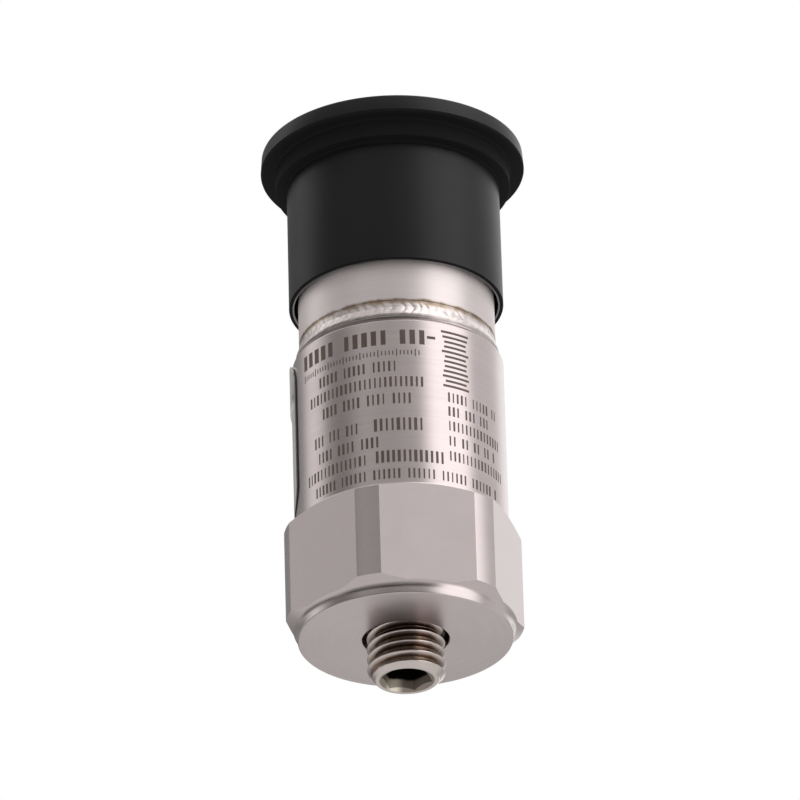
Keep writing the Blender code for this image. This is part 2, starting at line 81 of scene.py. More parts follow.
class Slot(Enum):
    """Names of material slots for the visible pieces, passed to hand_over, which does not use them."""

    CASE = "case_steel"
    NECK = "neck_steel"
    STUD = "stud_steel"
    WELD = "weld_metal"
    GLASS = "seal_glass"
    PIN = "pin_gold"
    CAP = "cap_plastic"


class Term:
    """A node's output that stands in formulas like a number. Each operator adds a Math node to its sheet."""

    def __init__(self, sheet: "NodeSheet", socket: bpy.types.NodeSocket) -> None:
        """Stands for an output.

        Args:
            sheet: The sheet that its node is on.
            socket: The output's socket.
        """
        self.sheet = sheet
        self.socket = socket

    def __add__(self, other: Value) -> "Term":
        """The sum of both."""
        return self.sheet.math("ADD", self, other)

    def __sub__(self, other: Value) -> "Term":
        """This less the other."""
        return self.sheet.math("SUBTRACT", self, other)

    def __rsub__(self, other: Value) -> "Term":
        """The other less this."""
        return self.sheet.math("SUBTRACT", other, self)

    def __mul__(self, other: Value) -> "Term":
        """The product of both."""
        return self.sheet.math("MULTIPLY", self, other)

    def __truediv__(self, other: Value) -> "Term":
        """This divided by the other."""
        return self.sheet.math("DIVIDE", self, other)

    def __rtruediv__(self, other: Value) -> "Term":
        """The other divided by this."""
        return self.sheet.math("DIVIDE", other, self)

    def __gt__(self, other: Value) -> "Term":
        """1 where this is greater than the other, and 0 elsewhere."""
        return self.sheet.math("GREATER_THAN", self, other)

    def __lt__(self, other: Value) -> "Term":
        """1 where this is less than the other, and 0 elsewhere."""
        return self.sheet.math("LESS_THAN", self, other)


class NodeSheet:
    """A node tree that is filled by adding nodes and wiring values to them."""

    def __init__(self, tree: bpy.types.NodeTree) -> None:
        """Starts on a tree.

        Args:
            tree: The shader or geometry tree to fill.
        """
        self.tree = tree

    def wire(self, value: Value, socket: bpy.types.NodeSocket) -> None:
        """Links a term to an input, or sets the input to a constant."""
        if isinstance(value, Term):
            self.tree.links.new(value.socket, socket)
        else:
            socket.default_value = value

    def add(self, kind: str, feeds: Optional[dict] = None, **settings: object) -> bpy.types.Node:
        """Adds a node.

        Args:
            kind: The node's type.
            feeds: What goes into its inputs, by their name or number.
            settings: The node's own properties.

        Returns:
            The new node.
        """
        node = self.tree.nodes.new(kind)
        for name, value in settings.items():
            setattr(node, name, value)
        for place, value in (feeds or {}).items():
            self.wire(value, node.inputs[place])
        return node

    def outputs(self, node: bpy.types.Node) -> dict[str, Term]:
        """A node's outputs as terms, by their names."""
        return {socket.name: Term(self, socket) for socket in node.outputs}

    def term(self, kind: str, feeds: Optional[dict] = None, output: Union[int, str] = 0,
             **settings: object) -> Term:
        """One output of a new node.

        Args:
            kind: The node's type.
            feeds: What goes into its inputs, by their name or number.
            output: The output's name or number.
            settings: The node's own properties.

        Returns:
            The output as a term.
        """
        return Term(self, self.add(kind, feeds, **settings).outputs[output])

    def math(self, operation: str, *values: Value) -> Term:
        """The result of a Math node on some values."""
        return self.term("ShaderNodeMath", dict(enumerate(values)), operation=operation)

    def vector(self, operation: str, *values: Value, output: str = "Vector") -> Term:
        """The result of a Vector Math node on some values."""
        return self.term("ShaderNodeVectorMath", dict(enumerate(values)), output, operation=operation)

    def in_millimetres(self, place: Term) -> Term:
        """A place that was given in metres, in millimetres."""
        return self.term("ShaderNodeVectorMath", {0: place, "Scale": 1 / MM}, operation="SCALE")

    def split(self, vector: Term) -> list[Term]:
        """The x, y and z of a vector."""
        return list(self.outputs(self.add("ShaderNodeSeparateXYZ", {0: vector})).values())

    def join(self, x: Value = 0.0, y: Value = 0.0, z: Value = 0.0) -> Term:
        """The vector of an x, y and z."""
        return self.term("ShaderNodeCombineXYZ", {0: x, 1: y, 2: z})

    def ease(self, value: Value, low: Value, high: Value, course: str = "SMOOTHSTEP") -> Term:
        """A share that rises from 0 to 1 while a value goes from low to high."""
        feeds = {0: value, 1: low, 2: high, 3: 0.0, 4: 1.0}
        return self.term("ShaderNodeMapRange", feeds, interpolation_type=course)

    def swing(self, share: Value, reach: float, middle: float = 0.0) -> Term:
        """A value that goes from a reach below its middle to a reach above it with a share from 0 to 1."""
        return self.math("MULTIPLY_ADD", share, 2 * reach, middle - reach)

    def blend(self, share: Value, first: Value, second: Value) -> Term:
        """A colour between two colours."""
        return self.term("ShaderNodeMix", {0: share, 6: first, 7: second}, 2, data_type="RGBA")

    def between(self, share: Value, first: Value, second: Value) -> Term:
        """A number between two numbers."""
        return self.term("ShaderNodeMix", {0: share, 2: first, 3: second}, data_type="FLOAT")

    def noise(self, place: Value, scale: Value, detail: float = 2.0, turn: Value = 0.0) -> Term:
        """Four-dimensional noise from 0 to 1 at a place, with turn as the fourth coordinate."""
        feeds = {"Vector": place, "W": turn, "Scale": scale, "Detail": detail, "Roughness": NOISE_ROUGHNESS}
        return self.term("ShaderNodeTexNoise", feeds, noise_dimensions="4D")


@dataclass(frozen=True)
class Port:
    """An input or output of a node group, with its kind and the value that it starts with."""

    name: str
    value: Optional[Value] = None
    kind: str = "NodeSocketFloat"


class Group:
    """A node group with named inputs and outputs, built once."""

    def __init__(self, kind: str, name: str, inputs: Sequence[Port], outputs: Sequence[Port]) -> None:
        """Opens the group.

        Args:
            kind: The type of its node tree.
            name: The group's name.
            inputs: Its inputs.
            outputs: Its outputs.
        """
        self.tree = bpy.data.node_groups.new(name, kind)
        for port, way in [(port, "INPUT") for port in inputs] + [(port, "OUTPUT") for port in outputs]:
            socket = self.tree.interface.new_socket(port.name, in_out=way, socket_type=port.kind)
            if port.value is not None:
                socket.default_value = port.value
        self.sheet = NodeSheet(self.tree)
        self.given = self.sheet.outputs(self.sheet.add("NodeGroupInput"))
        self.result = self.sheet.add("NodeGroupOutput").inputs

    def put_out(self, **values: Value) -> None:
        """Wires values to the outputs, which are named with spaces where the keywords have underscores."""
        for name, value in values.items():
            self.sheet.wire(value, self.result[name.replace("_", " ")])

    def use(self, sheet: NodeSheet, feeds: Optional[dict] = None) -> dict[str, Term]:
        """Places the group on another sheet of its kind.

        Args:
            sheet: The other sheet.
            feeds: What goes into the group's inputs there, by their names.

        Returns:
            The group's outputs there, by their names.
        """
        kind = self.tree.bl_idname.replace("Tree", "Group")
        return sheet.outputs(sheet.add(kind, feeds, node_tree=self.tree))

    def shape(self, obj: bpy.types.Object, values: dict) -> None:
        """Adds the geometry group to an object as a modifier with its own values.

        Args:
            obj: The object that the group works on.
            values: What its inputs are set to, by their names.
        """
        modifier = obj.modifiers.new(self.tree.name, "NODES")
        modifier.node_group = self.tree
        for item in self.tree.interface.items_tree:
            if item.item_type == "SOCKET" and item.in_out == "INPUT" and item.name in values:
                modifier[item.identifier] = values[item.name]


class ShaderGroups:
    """The shader effects that several materials share, each built the first time it is asked for."""

    kind: ClassVar[str] = "ShaderNodeTree"
    least_radius_mm: ClassVar[float] = 0.001
    fineness: ClassVar[float] = 3.1
    oxides: ClassVar[dict[float, Colour]] = {
        0.0: (0.20, 0.135, 0.09),
        0.3: (0.30, 0.215, 0.155),
        0.6: (0.45, 0.375, 0.31),
        1.0: (0.56, 0.50, 0.46),
    }
    tint_fade: ClassVar[float] = 0.35
    tint_shift: ClassVar[float] = 0.1
    tint_waver: ClassVar[float] = 0.75
    tint_wavers_per_mm: ClassVar[float] = 0.9
    tint_cover: ClassVar[float] = 0.9
    tint_patchiness: ClassVar[float] = 0.85
    tint_patches_per_mm: ClassVar[float] = 1.3

    @classmethod
    @cache
    def axis_place(cls) -> Group:
        """A point's radius and height in millimetres, its direction from the axis, and its plain place."""
        group = Group(cls.kind, "axis_place", [], [
            Port("Radius"), Port("Height"), Port("Across"), Port("Along"),
            Port("Place", kind="NodeSocketVector")])
        sheet = group.sheet
        place = sheet.in_millimetres(sheet.term("ShaderNodeTexCoord", output="Object"))
        x, y, height = sheet.split(place)
        radius = sheet.vector("LENGTH", sheet.join(x, y), output="Value")
        safe = sheet.math("MAXIMUM", radius, cls.least_radius_mm)
        group.put_out(Radius=radius, Height=height, Across=x / safe, Along=y / safe, Place=place)
        return group

    @classmethod
    @cache
    def tool_lines(cls) -> Group:
        """Lines that a tool leaves round the axis on a turned face, and slow patches across it."""
        group = Group(cls.kind, "tool_lines",
                      [Port("Lines Per Mm", 9.0), Port("Wander", 1.2), Port("Patch Size", 3.0)],
                      [Port("Lines"), Port("Fine Lines"), Port("Patches")])
        sheet = group.sheet
        place = cls.axis_place().use(sheet)
        across = place["Across"] * group.given["Wander"]
        along = place["Along"] * group.given["Wander"]
        lines = []
        for finer in (1.0, cls.fineness):
            density = group.given["Lines Per Mm"] * finer
            spot = sheet.join(place["Radius"] * density, place["Height"] * density, across)
            lines.append(sheet.noise(spot, 1.0, 1.0, along))
        patches = sheet.noise(place["Place"], 1.0 / group.given["Patch Size"], 3.0)
        group.put_out(Lines=lines[0], Fine_Lines=lines[1], Patches=patches)
        return group

    @classmethod
    @cache
    def heat_tint(cls) -> Group:
        """The oxide colours beside a weld: brown at their middle, then bronze and straw, then bare metal."""
        group = Group(cls.kind, "heat_tint",
                      [Port("Centre", 26.5), Port("Reach Up", 0.5), Port("Reach Down", 0.3),
                       Port("Strength", 1.0), Port("Metal", (0.6, 0.6, 0.6, 1.0), "NodeSocketColor")],
                      [Port("Colour", kind="NodeSocketColor")])
        sheet, given = group.sheet, group.given
        place = cls.axis_place().use(sheet)
        rise = place["Height"] - given["Centre"]
        outside = sheet.math("MAXIMUM", rise / given["Reach Up"], rise * -1.0 / given["Reach Down"])
        waver = sheet.noise(place["Place"], cls.tint_wavers_per_mm, 3.0)
        away = outside + sheet.swing(waver, cls.tint_waver, cls.tint_shift)
        ramp = sheet.add("ShaderNodeValToRGB", {0: away})
        elements = ramp.color_ramp.elements
        while len(elements) < len(cls.oxides):
            elements.new(0.5)
        for element, (position, colour) in zip(elements, cls.oxides.items()):
            element.position = position
            element.color = (*colour, 1.0)
        fade = 1.0 - sheet.ease(away, cls.tint_fade, 1.0)
        patches = sheet.noise(place["Place"], cls.tint_patches_per_mm)
        patchy = sheet.math("MINIMUM", fade * sheet.swing(patches, cls.tint_patchiness, cls.tint_cover), 1.0)
        oxide = sheet.outputs(ramp)["Color"]
        group.put_out(Colour=sheet.blend(patchy * given["Strength"], given["Metal"], oxide))
        return group

    @classmethod
    @cache
    def grain(cls) -> Group:
        """The fine, even grain of moulded, fired or blasted surfaces, and a coarser mottle."""
        group = Group(cls.kind, "grain", [Port("Grains Per Mm", 8.0), Port("Mottle Size", 2.0)],
                      [Port("Grain"), Port("Mottle")])
        sheet = group.sheet
        place = cls.axis_place().use(sheet)["Place"]
        group.put_out(Grain=sheet.noise(place, group.given["Grains Per Mm"]),
                      Mottle=sheet.noise(place, 1.0 / group.given["Mottle Size"], 3.0))
        return group


@dataclass(frozen=True)
class Finish:
    """A surface finish: its plain values, and what its own paint method lays over them."""

    name: str
    colour: Colour
    roughness: float
    metallic: float = 0.0

    @cache
    def material(self) -> bpy.types.Material:
        """The finish's material, made the first time it is asked for."""
        material = bpy.data.materials.new(self.name)
        material.use_nodes = True
        shader = material.node_tree.nodes["Principled BSDF"].inputs
        shader["Base Color"].default_value = self.toned(1.0)
        shader["Roughness"].default_value = self.roughness
        shader["Metallic"].default_value = self.metallic
        self.paint(NodeSheet(material.node_tree), shader)
        return material

    def toned(self, tone: float) -> tuple[float, ...]:
        """The finish's colour times a tone, with an alpha of 1."""
        return (*(min(part * tone, 1.0) for part in self.colour), 1.0)

    def paint(self, sheet: NodeSheet, shader: bpy.types.NodeInputs) -> None:
        """Lays the finish's detail over its plain values.

        Args:
            sheet: The material's node sheet.
            shader: The inputs of its shader.
        """
        raise NotImplementedError

    def shaded(self, sheet: NodeSheet, share: Value, contrast: float) -> Term:
        """The finish's colour, darker where a share is 0 and lighter where it is 1."""
        return sheet.blend(share, self.toned(1 - contrast), self.toned(1 + contrast))

    def roughen(self, sheet: NodeSheet, shader: bpy.types.NodeInputs, share: Value, reach: float) -> None:
        """Lets the roughness swing by a reach about the finish's own."""
        sheet.wire(sheet.swing(share, reach, self.roughness), shader["Roughness"])

    def ridges(self, sheet: NodeSheet, shader: bpy.types.NodeInputs, height: Value, depth_um: float) -> None:
        """Wires a bump of a depth in micrometres to the shader."""
        feeds = {"Height": height, "Distance": depth_um * MM * MM, "Strength": 1.0}
        sheet.wire(sheet.term("ShaderNodeBump", feeds), shader["Normal"])


@dataclass(frozen=True)
class TurnedMetal(Finish):
    """Metal that was turned on a lathe, with tool lines round the axis that stretch its highlights."""

    metallic: float = 1.0
    anisotropy: float = 0.6
    lines_per_mm: float = 9.0
    line_depth_um: float = 0.5
    line_contrast: float = 0.05
    patch_share: float = 0.4
    patch_roughness: float = 0.05

    def paint(self, sheet: NodeSheet, shader: bpy.types.NodeInputs) -> None:
        """Lays tool lines and slow patches over the metal."""
        lines = ShaderGroups.tool_lines().use(sheet, {"Lines Per Mm": self.lines_per_mm})
        mixed = sheet.between(self.patch_share, lines["Lines"], lines["Patches"])
        sheet.wire(self.tinted(sheet, self.shaded(sheet, mixed, self.line_contrast)), shader["Base Color"])
        self.roughen(sheet, shader, lines["Patches"], self.patch_roughness)
        both = sheet.between(0.5, lines["Lines"], lines["Fine Lines"])
        self.ridges(sheet, shader, both, self.line_depth_um)
        shader["Anisotropic"].default_value = self.anisotropy
        shader["Anisotropic Rotation"].default_value = STRETCH_TURN

    def tinted(self, sheet: NodeSheet, metal: Term) -> Term:
        """The metal's colour with what lies over it; plain turned metal is bare."""
        return metal


@dataclass(frozen=True)
class HeatTint:
    """A weld's oxide tint: its middle up the axis, its reach above and below, and its strength."""

    centre_mm: float
    up_mm: float
    down_mm: float
    strength: float = 1.0

    def over(self, sheet: NodeSheet, metal: Term) -> Term:
        """The tint over a metal's colour."""
        return ShaderGroups.heat_tint().use(sheet, {
            "Centre": self.centre_mm, "Reach Up": self.up_mm, "Reach Down": self.down_mm,
            "Strength": self.strength, "Metal": metal})["Colour"]


@dataclass(frozen=True)
class TintedMetal(TurnedMetal):
    """Turned metal that a weld beside it has tinted."""

    tint: HeatTint = HeatTint(26.42, 0.32, 0.3)

    def tinted(self, sheet: NodeSheet, metal: Term) -> Term:
        """The metal's colour with the weld's oxide tint over it."""
        return self.tint.over(sheet, metal)


@dataclass(frozen=True)
class MilledMetal(Finish):
    """Metal that was milled flat, matt, with a faint cross grain."""

    metallic: float = 1.0
    anisotropy: float = 0.5
    grain_depth_um: float = 0.6
    upright_lines: tuple[float, float, float] = (5.0, 5.0, 0.35)
    level_lines: tuple[float, float, float] = (0.5, 0.5, 9.0)
    mottle_size_mm: float = 2.6
    contrast: float = 0.07
    patch_roughness: float = 0.05

    def paint(self, sheet: NodeSheet, shader: bpy.types.NodeInputs) -> None:
        """Lays faint upright and level cutter lines over the metal."""
        place = ShaderGroups.axis_place().use(sheet)["Place"]
        upright, level = (sheet.noise(sheet.vector("MULTIPLY", place, density), 1.0)
                          for density in (self.upright_lines, self.level_lines))
        lines = sheet.between(0.5, upright, level)
        mottle = ShaderGroups.grain().use(sheet, {"Mottle Size": self.mottle_size_mm})["Mottle"]
        sheet.wire(self.shaded(sheet, sheet.between(0.5, lines, mottle), self.contrast), shader["Base Color"])
        self.roughen(sheet, shader, mottle, self.patch_roughness)
        self.ridges(sheet, shader, lines, self.grain_depth_um)
        shader["Anisotropic"].default_value = self.anisotropy
        shader["Anisotropic Rotation"].default_value = STRETCH_TURN


@dataclass(frozen=True)
class ThreadedMetal(TurnedMetal):
    """A threaded stud's metal: plain on its crests and end, with painted dark brown shade in the roots of its
    thread.
    """

    root_mm: float = 2.72
    crest_mm: float = 3.13
    # Where the painted shade in the thread's roots starts and is full, its colour and its patches.
    shade_start_mm: float = -3.165
    root_shade_full_mm: float = -2.835
    root_shade_colour: Colour = (0.15, 0.098, 0.066)
    shade_patches_per_mm: float = 2.2
    shade_patchiness: float = 0.25
    cover: float = 0.97

    def tinted(self, sheet: NodeSheet, metal: Term) -> Term:
        """The metal's colour with painted shade in the thread's roots, from a little above the end upward."""
        place = ShaderGroups.axis_place().use(sheet)
        depth = 1.0 - sheet.ease(place["Radius"], self.root_mm, self.crest_mm)
        above_end = sheet.ease(place["Height"], self.shade_start_mm, self.root_shade_full_mm)
        shade_patches = sheet.noise(place["Place"], self.shade_patches_per_mm, 3.0)
        # Painted shade: the thread's roots are darkened in colour, patchily, to stand for the shade they lie
        # in.
        root_shade = depth * above_end * sheet.swing(shade_patches, self.shade_patchiness, self.cover)
        return sheet.blend(sheet.math("MINIMUM", root_shade, 1.0), metal, (*self.root_shade_colour, 1.0))


@dataclass(frozen=True)
class SocketMetal(TurnedMetal):
    """A socket's wall: a painted highlight streak near its mouth, painted shade beside it and nearly black
    painted shade deeper in.
    """

    # Painted shade deeper in the socket, and a painted highlight streak across the wall with painted shade
    # beside it.
    shade_start_mm: float = -2.75
    deep_shade_mm: float = -2.5
    shade_edge_waver_mm: float = 0.15
    shade_edge_wavers_per_mm: float = 1.2
    deep_shade_tone: float = 0.03
    highlight_streak_mm: float = -0.65
    highlight_streak_core_mm: float = 0.1
    highlight_streak_reach_mm: float = 0.9
    streak_side_shade_tone: float = 0.25

    def paint(self, sheet: NodeSheet, shader: bpy.types.NodeInputs) -> None:
        """Lays the tool lines over the wall and makes it fully metallic where the painted deep shade lies."""
        super().paint(sheet, shader)
        sheet.wire(sheet.between(self.deep_shade_share(sheet), self.metallic, 1.0), shader["Metallic"])

    def deep_shade_share(self, sheet: NodeSheet) -> Term:
        """The share of painted deep shade: 0 near the mouth, 1 deeper in, with a wavering edge."""
        place = ShaderGroups.axis_place().use(sheet)
        shade_waver = sheet.swing(sheet.noise(place["Place"], self.shade_edge_wavers_per_mm), self.shade_edge_waver_mm)
        return sheet.ease(place["Height"] + shade_waver, self.shade_start_mm, self.deep_shade_mm)

    def tinted(self, sheet: NodeSheet, metal: Term) -> Term:
        """The wall's colour: a painted highlight streak, painted shade beside it, and nearly black painted
        shade deeper in.
        """
        across = sheet.split(ShaderGroups.axis_place().use(sheet)["Place"])[0]
        # Painted highlight: the wall keeps its light colour only near the streak and is painted darker beside
        # it.
        aside = sheet.math("ABSOLUTE", across - self.highlight_streak_mm)
        streak_side_shade = sheet.ease(aside, self.highlight_streak_core_mm, self.highlight_streak_reach_mm)
        wall = sheet.blend(streak_side_shade, metal, self.toned(self.streak_side_shade_tone))
        return sheet.blend(self.deep_shade_share(sheet), wall, self.toned(self.deep_shade_tone))


@dataclass(frozen=True)
class WeldedMetal(Finish):
    """A weld bead: plain on its crown, darker and lined along its lower edge, with straw and brown tint along
    the upper one.
    """

    metallic: float = 1.0
    dark_band_mm: float = 24.65
    crown_mm: float = 25.15
    edge_waver_mm: float = 0.2
    grains_per_mm: float = 6.0
    grain_depth_um: float = 6.0
    mottle_size_mm: float = 0.7
    contrast: float = 0.16
    patch_roughness: float = 0.08
    lines_per_mm: float = 6.0
    dark_band_lines: tuple[float, float] = (0.36, 0.62)
    dark_band_tones: tuple[float, float] = (0.42, 0.92)
    tint: HeatTint = HeatTint(26.34, 0.5, 0.46, 0.9)

    def paint(self, sheet: NodeSheet, shader: bpy.types.NodeInputs) -> None:
        """Lays the darker, lined lower edge, the mottled crown and the oxide tint over the bead."""
        height = ShaderGroups.axis_place().use(sheet)["Height"]
        grain = ShaderGroups.grain().use(sheet, {
            "Grains Per Mm": self.grains_per_mm, "Mottle Size": self.mottle_size_mm})
        lines = ShaderGroups.tool_lines().use(sheet, {"Lines Per Mm": self.lines_per_mm})["Lines"]
        dark_band = sheet.blend(sheet.ease(lines, *self.dark_band_lines), *map(self.toned, self.dark_band_tones))
        crown = self.shaded(sheet, grain["Mottle"], self.contrast)
        edge = height + sheet.swing(grain["Mottle"], self.edge_waver_mm)
        bright = sheet.ease(edge, self.dark_band_mm, self.crown_mm)
        sheet.wire(self.tint.over(sheet, sheet.blend(bright, dark_band, crown)), shader["Base Color"])
        self.roughen(sheet, shader, grain["Grain"], self.patch_roughness)
        self.ridges(sheet, shader, sheet.between(bright, lines, grain["Grain"]), self.grain_depth_um)


@dataclass(frozen=True)
class Grained(Finish):
    """A moulded, fired, cast or coated surface with an even grain and a slow mottle."""

    grains_per_mm: float = 8.0
    grain_depth_um: float = 4.0
    mottle_size_mm: float = 2.0
    mottle_share: float = 0.6
    contrast: float = 0.08
    patch_roughness: float = 0.05
    coat: float = 0.0
    specular: float = 0.5

    def paint(self, sheet: NodeSheet, shader: bpy.types.NodeInputs) -> None:
        """Lays grain and mottle over the surface."""
        grain = ShaderGroups.grain().use(sheet, {
            "Grains Per Mm": self.grains_per_mm, "Mottle Size": self.mottle_size_mm})
        both = sheet.between(self.mottle_share, grain["Grain"], grain["Mottle"])
        sheet.wire(self.shaded(sheet, both, self.contrast), shader["Base Color"])
        self.roughen(sheet, shader, grain["Mottle"], self.patch_roughness)
        self.ridges(sheet, shader, grain["Grain"], self.grain_depth_um)
        shader["Coat Weight"].default_value = self.coat
        shader["Specular IOR Level"].default_value = self.specular


@dataclass(frozen=True)
class BoardMask(Finish):
    """A circuit board's solder mask over copper tracks and glass fibre."""

    track_spacing_mm: float = 0.9
    track_edges: tuple[float, float] = (0.45, 0.65)
    weave: tuple[float, float, float] = (6.0, 1.5, 1.0)
    weave_share: float = 0.35
    contrast: float = 0.35
    depth_um: float = 12.0
    coat: float = 0.3

    def paint(self, sheet: NodeSheet, shader: bpy.types.NodeInputs) -> None:
        """Lays raised tracks and the fibre weave under the mask."""
        place = ShaderGroups.axis_place().use(sheet)["Place"]
        wave = sheet.math("SINE", sheet.split(place)[1] * (TURN / self.track_spacing_mm))
        weave = sheet.noise(sheet.vector("MULTIPLY", place, self.weave), 1.0)
        mixed = sheet.between(self.weave_share, sheet.ease(wave, *self.track_edges), weave)
        sheet.wire(self.shaded(sheet, mixed, self.contrast), shader["Base Color"])
        self.ridges(sheet, shader, mixed, self.depth_um)
        shader["Coat Weight"].default_value = self.coat


TURNED_STEEL = TurnedMetal("turned_steel", (0.595, 0.522, 0.515), 0.25, anisotropy=0.65, lines_per_mm=4.5,
                           line_depth_um=1.0, line_contrast=0.11)
FACED_STEEL = TurnedMetal("faced_steel", (0.60, 0.53, 0.525), 0.3, anisotropy=0.8, lines_per_mm=5.0,
                          line_contrast=0.1)
MILLED_STEEL = MilledMetal("milled_steel", (0.60, 0.527, 0.522), 0.3)
BAR_STEEL = TurnedMetal("bar_steel", (0.57, 0.50, 0.498), 0.27, anisotropy=0.2)
# A painted highlight: a much lighter colour on the edge breaks, in place of the thin highlight lines along
# them.
PAINTED_EDGE_HIGHLIGHT = TurnedMetal("painted_highlight_edge", (0.86, 0.79, 0.78), 0.3, anisotropy=0.0)
NECK_STEEL = TintedMetal("neck_steel", (0.76, 0.687, 0.676), 0.45, metallic=0.7, anisotropy=0.8,
                         lines_per_mm=4.0, line_contrast=0.09)
RECEPTACLE_STEEL = TurnedMetal("receptacle_steel", (0.70, 0.632, 0.622), 0.33, anisotropy=0.4,
                               lines_per_mm=4.0, line_contrast=0.09)
STUD_STEEL = ThreadedMetal("stud_steel", (0.66, 0.58, 0.55), 0.2, anisotropy=0.3, line_depth_um=1.2)
# The light colour is the painted highlight streak; the wall is painted darker beside it and deeper in.
SOCKET_WALL = SocketMetal("socket_wall", (0.96, 0.80, 0.66), 0.5, metallic=0.4, anisotropy=0.0,
                          lines_per_mm=6.0, line_depth_um=8.0, line_contrast=0.2)
WELD_BEAD = WeldedMetal("weld_bead", (0.65, 0.582, 0.562), 0.3)
ETCHED = Grained("etched_mark", (0.12, 0.088, 0.074), 0.5, metallic=0.55, grains_per_mm=14.0, contrast=0.2)
# Painted shadow: the dark backing's rim round the foil stands for the shadow line at the plate's edge.
SHADOW_BACKING = Grained("plate_shadow_backing", (0.022, 0.018, 0.016), 0.42, grains_per_mm=10.0, contrast=0.15)
FOIL = TurnedMetal("blank_foil", (0.80, 0.77, 0.75), 0.45, anisotropy=0.0, lines_per_mm=5.0)
CAP_PLASTIC = Grained("cap_plastic", (0.0045, 0.0045, 0.005), 0.4, grains_per_mm=7.0, mottle_size_mm=3.0,
                      contrast=0.12, patch_roughness=0.06, specular=0.31)
CAP_MATT = Grained("cap_matt", (0.007, 0.007, 0.0072), 0.75, grains_per_mm=9.0, grain_depth_um=6.0,
                   contrast=0.2, specular=0.11)
CAP_LIP = Grained("cap_lip", (0.006, 0.006, 0.006), 0.12, grains_per_mm=4.0, grain_depth_um=1.0, contrast=0.1,
                  specular=1.0, coat=1.0)
SEAL_GLASS = Grained("seal_glass", (0.018, 0.05, 0.034), 0.16, grains_per_mm=3.0, grain_depth_um=3.0,
                     contrast=0.3, coat=0.6)
PIN_GOLD = TurnedMetal("pin_gold", (0.93, 0.66, 0.27), 0.2, anisotropy=0.3)
PIEZO_CERAMIC = Grained("piezo_ceramic", (0.52, 0.47, 0.38), 0.58, grains_per_mm=18.0, contrast=0.1)
WHITE_NYLON = Grained("white_nylon", (0.80, 0.79, 0.74), 0.5, contrast=0.04)
BLUE_GLAZE = Grained("blue_glaze", (0.05, 0.07, 0.12), 0.3, coat=0.3)
RED_INSULATION = Grained("red_insulation", (0.50, 0.03, 0.02), 0.38)
WHITE_INSULATION = Grained("white_insulation", (0.75, 0.74, 0.70), 0.38)
PALE_FLOOR = Grained("pale_floor", (0.86, 0.86, 0.86), 0.8, grains_per_mm=0.01, mottle_size_mm=400.0,
                     contrast=0.01, grain_depth_um=0.0)

INNER_FINISHES: dict[str, Finish] = {
    "isolation_disc": Grained("alumina", (0.85, 0.83, 0.78), 0.42, contrast=0.04, coat=0.1),
    "insulating_sleeve": Grained("amber_film", (0.55, 0.26, 0.05), 0.32, grains_per_mm=2.0,
                                 grain_depth_um=3.0),
    "shield_can": TurnedMetal("drawn_nickel", (0.60, 0.56, 0.50), 0.24, anisotropy=0.2),
    "inner_base": TurnedMetal("inner_steel", (0.58, 0.55, 0.53), 0.28),
    "piezo_disc_lower": PIEZO_CERAMIC,
    "piezo_disc_upper": PIEZO_CERAMIC,
    "signal_electrode": TurnedMetal("electrode_brass", (0.80, 0.58, 0.26), 0.28),
    "seismic_mass": TurnedMetal("tungsten_alloy", (0.27, 0.27, 0.28), 0.36),
    "spring_washer": TurnedMetal("spring_steel", (0.34, 0.33, 0.34), 0.3),
    "preload_screw": Grained("black_oxide", (0.05, 0.05, 0.052), 0.4, metallic=1.0, contrast=0.2),
    "screw_sleeve": WHITE_NYLON,
    "board_spacer": WHITE_NYLON,
    "circuit_board": BoardMask("solder_mask", (0.02, 0.14, 0.06), 0.36),
    "amplifier_chip": Grained("moulded_chip", (0.022, 0.022, 0.024), 0.5, grains_per_mm=20.0),
    "coupling_capacitor": Grained("amber_resin", (0.60, 0.33, 0.04), 0.38),
    "resistor_a": BLUE_GLAZE,
    "resistor_b": BLUE_GLAZE,
    "signal_lead": RED_INSULATION,
    "ground_lead": WHITE_INSULATION,
    "pin_lead_a": WHITE_INSULATION,
    "pin_lead_b": RED_INSULATION,
}


@dataclass(frozen=True)
class Corner:
    """A corner of a turned outline: its place, its fillet, and the rows and the finish of what follows it."""

    radius: float
    height: float
    fillet: float = 0.0
    rows: int = 1
    band: int = 0


@dataclass
class Ring:
    """Points round the axis, with a radius, a height and the finish of the band after them at each column."""

    radius: np.ndarray
    height: np.ndarray
    band: np.ndarray


def even_columns(count: int) -> np.ndarray:
    """Azimuths of a number of even columns round the axis."""
    return np.linspace(0.0, TURN, count, endpoint=False)


def direction(azimuth: float, elevation: float) -> Vector:
    """The way from the part to a place that is seen at an azimuth and an elevation."""
    return Vector((math.sin(azimuth) * math.cos(elevation), -math.cos(azimuth) * math.cos(elevation),
                   math.sin(elevation)))


def sideways(azimuth: float) -> Vector:
    """The level way to the right for a camera that stands at an azimuth."""
    return Vector((math.cos(azimuth), math.sin(azimuth), 0.0))


def from_flat(azimuths: np.ndarray) -> np.ndarray:
    """How far azimuths lie from the middle of the nearest flat of a hexagon."""
    return (azimuths + SIXTH / 2) % SIXTH - SIXTH / 2


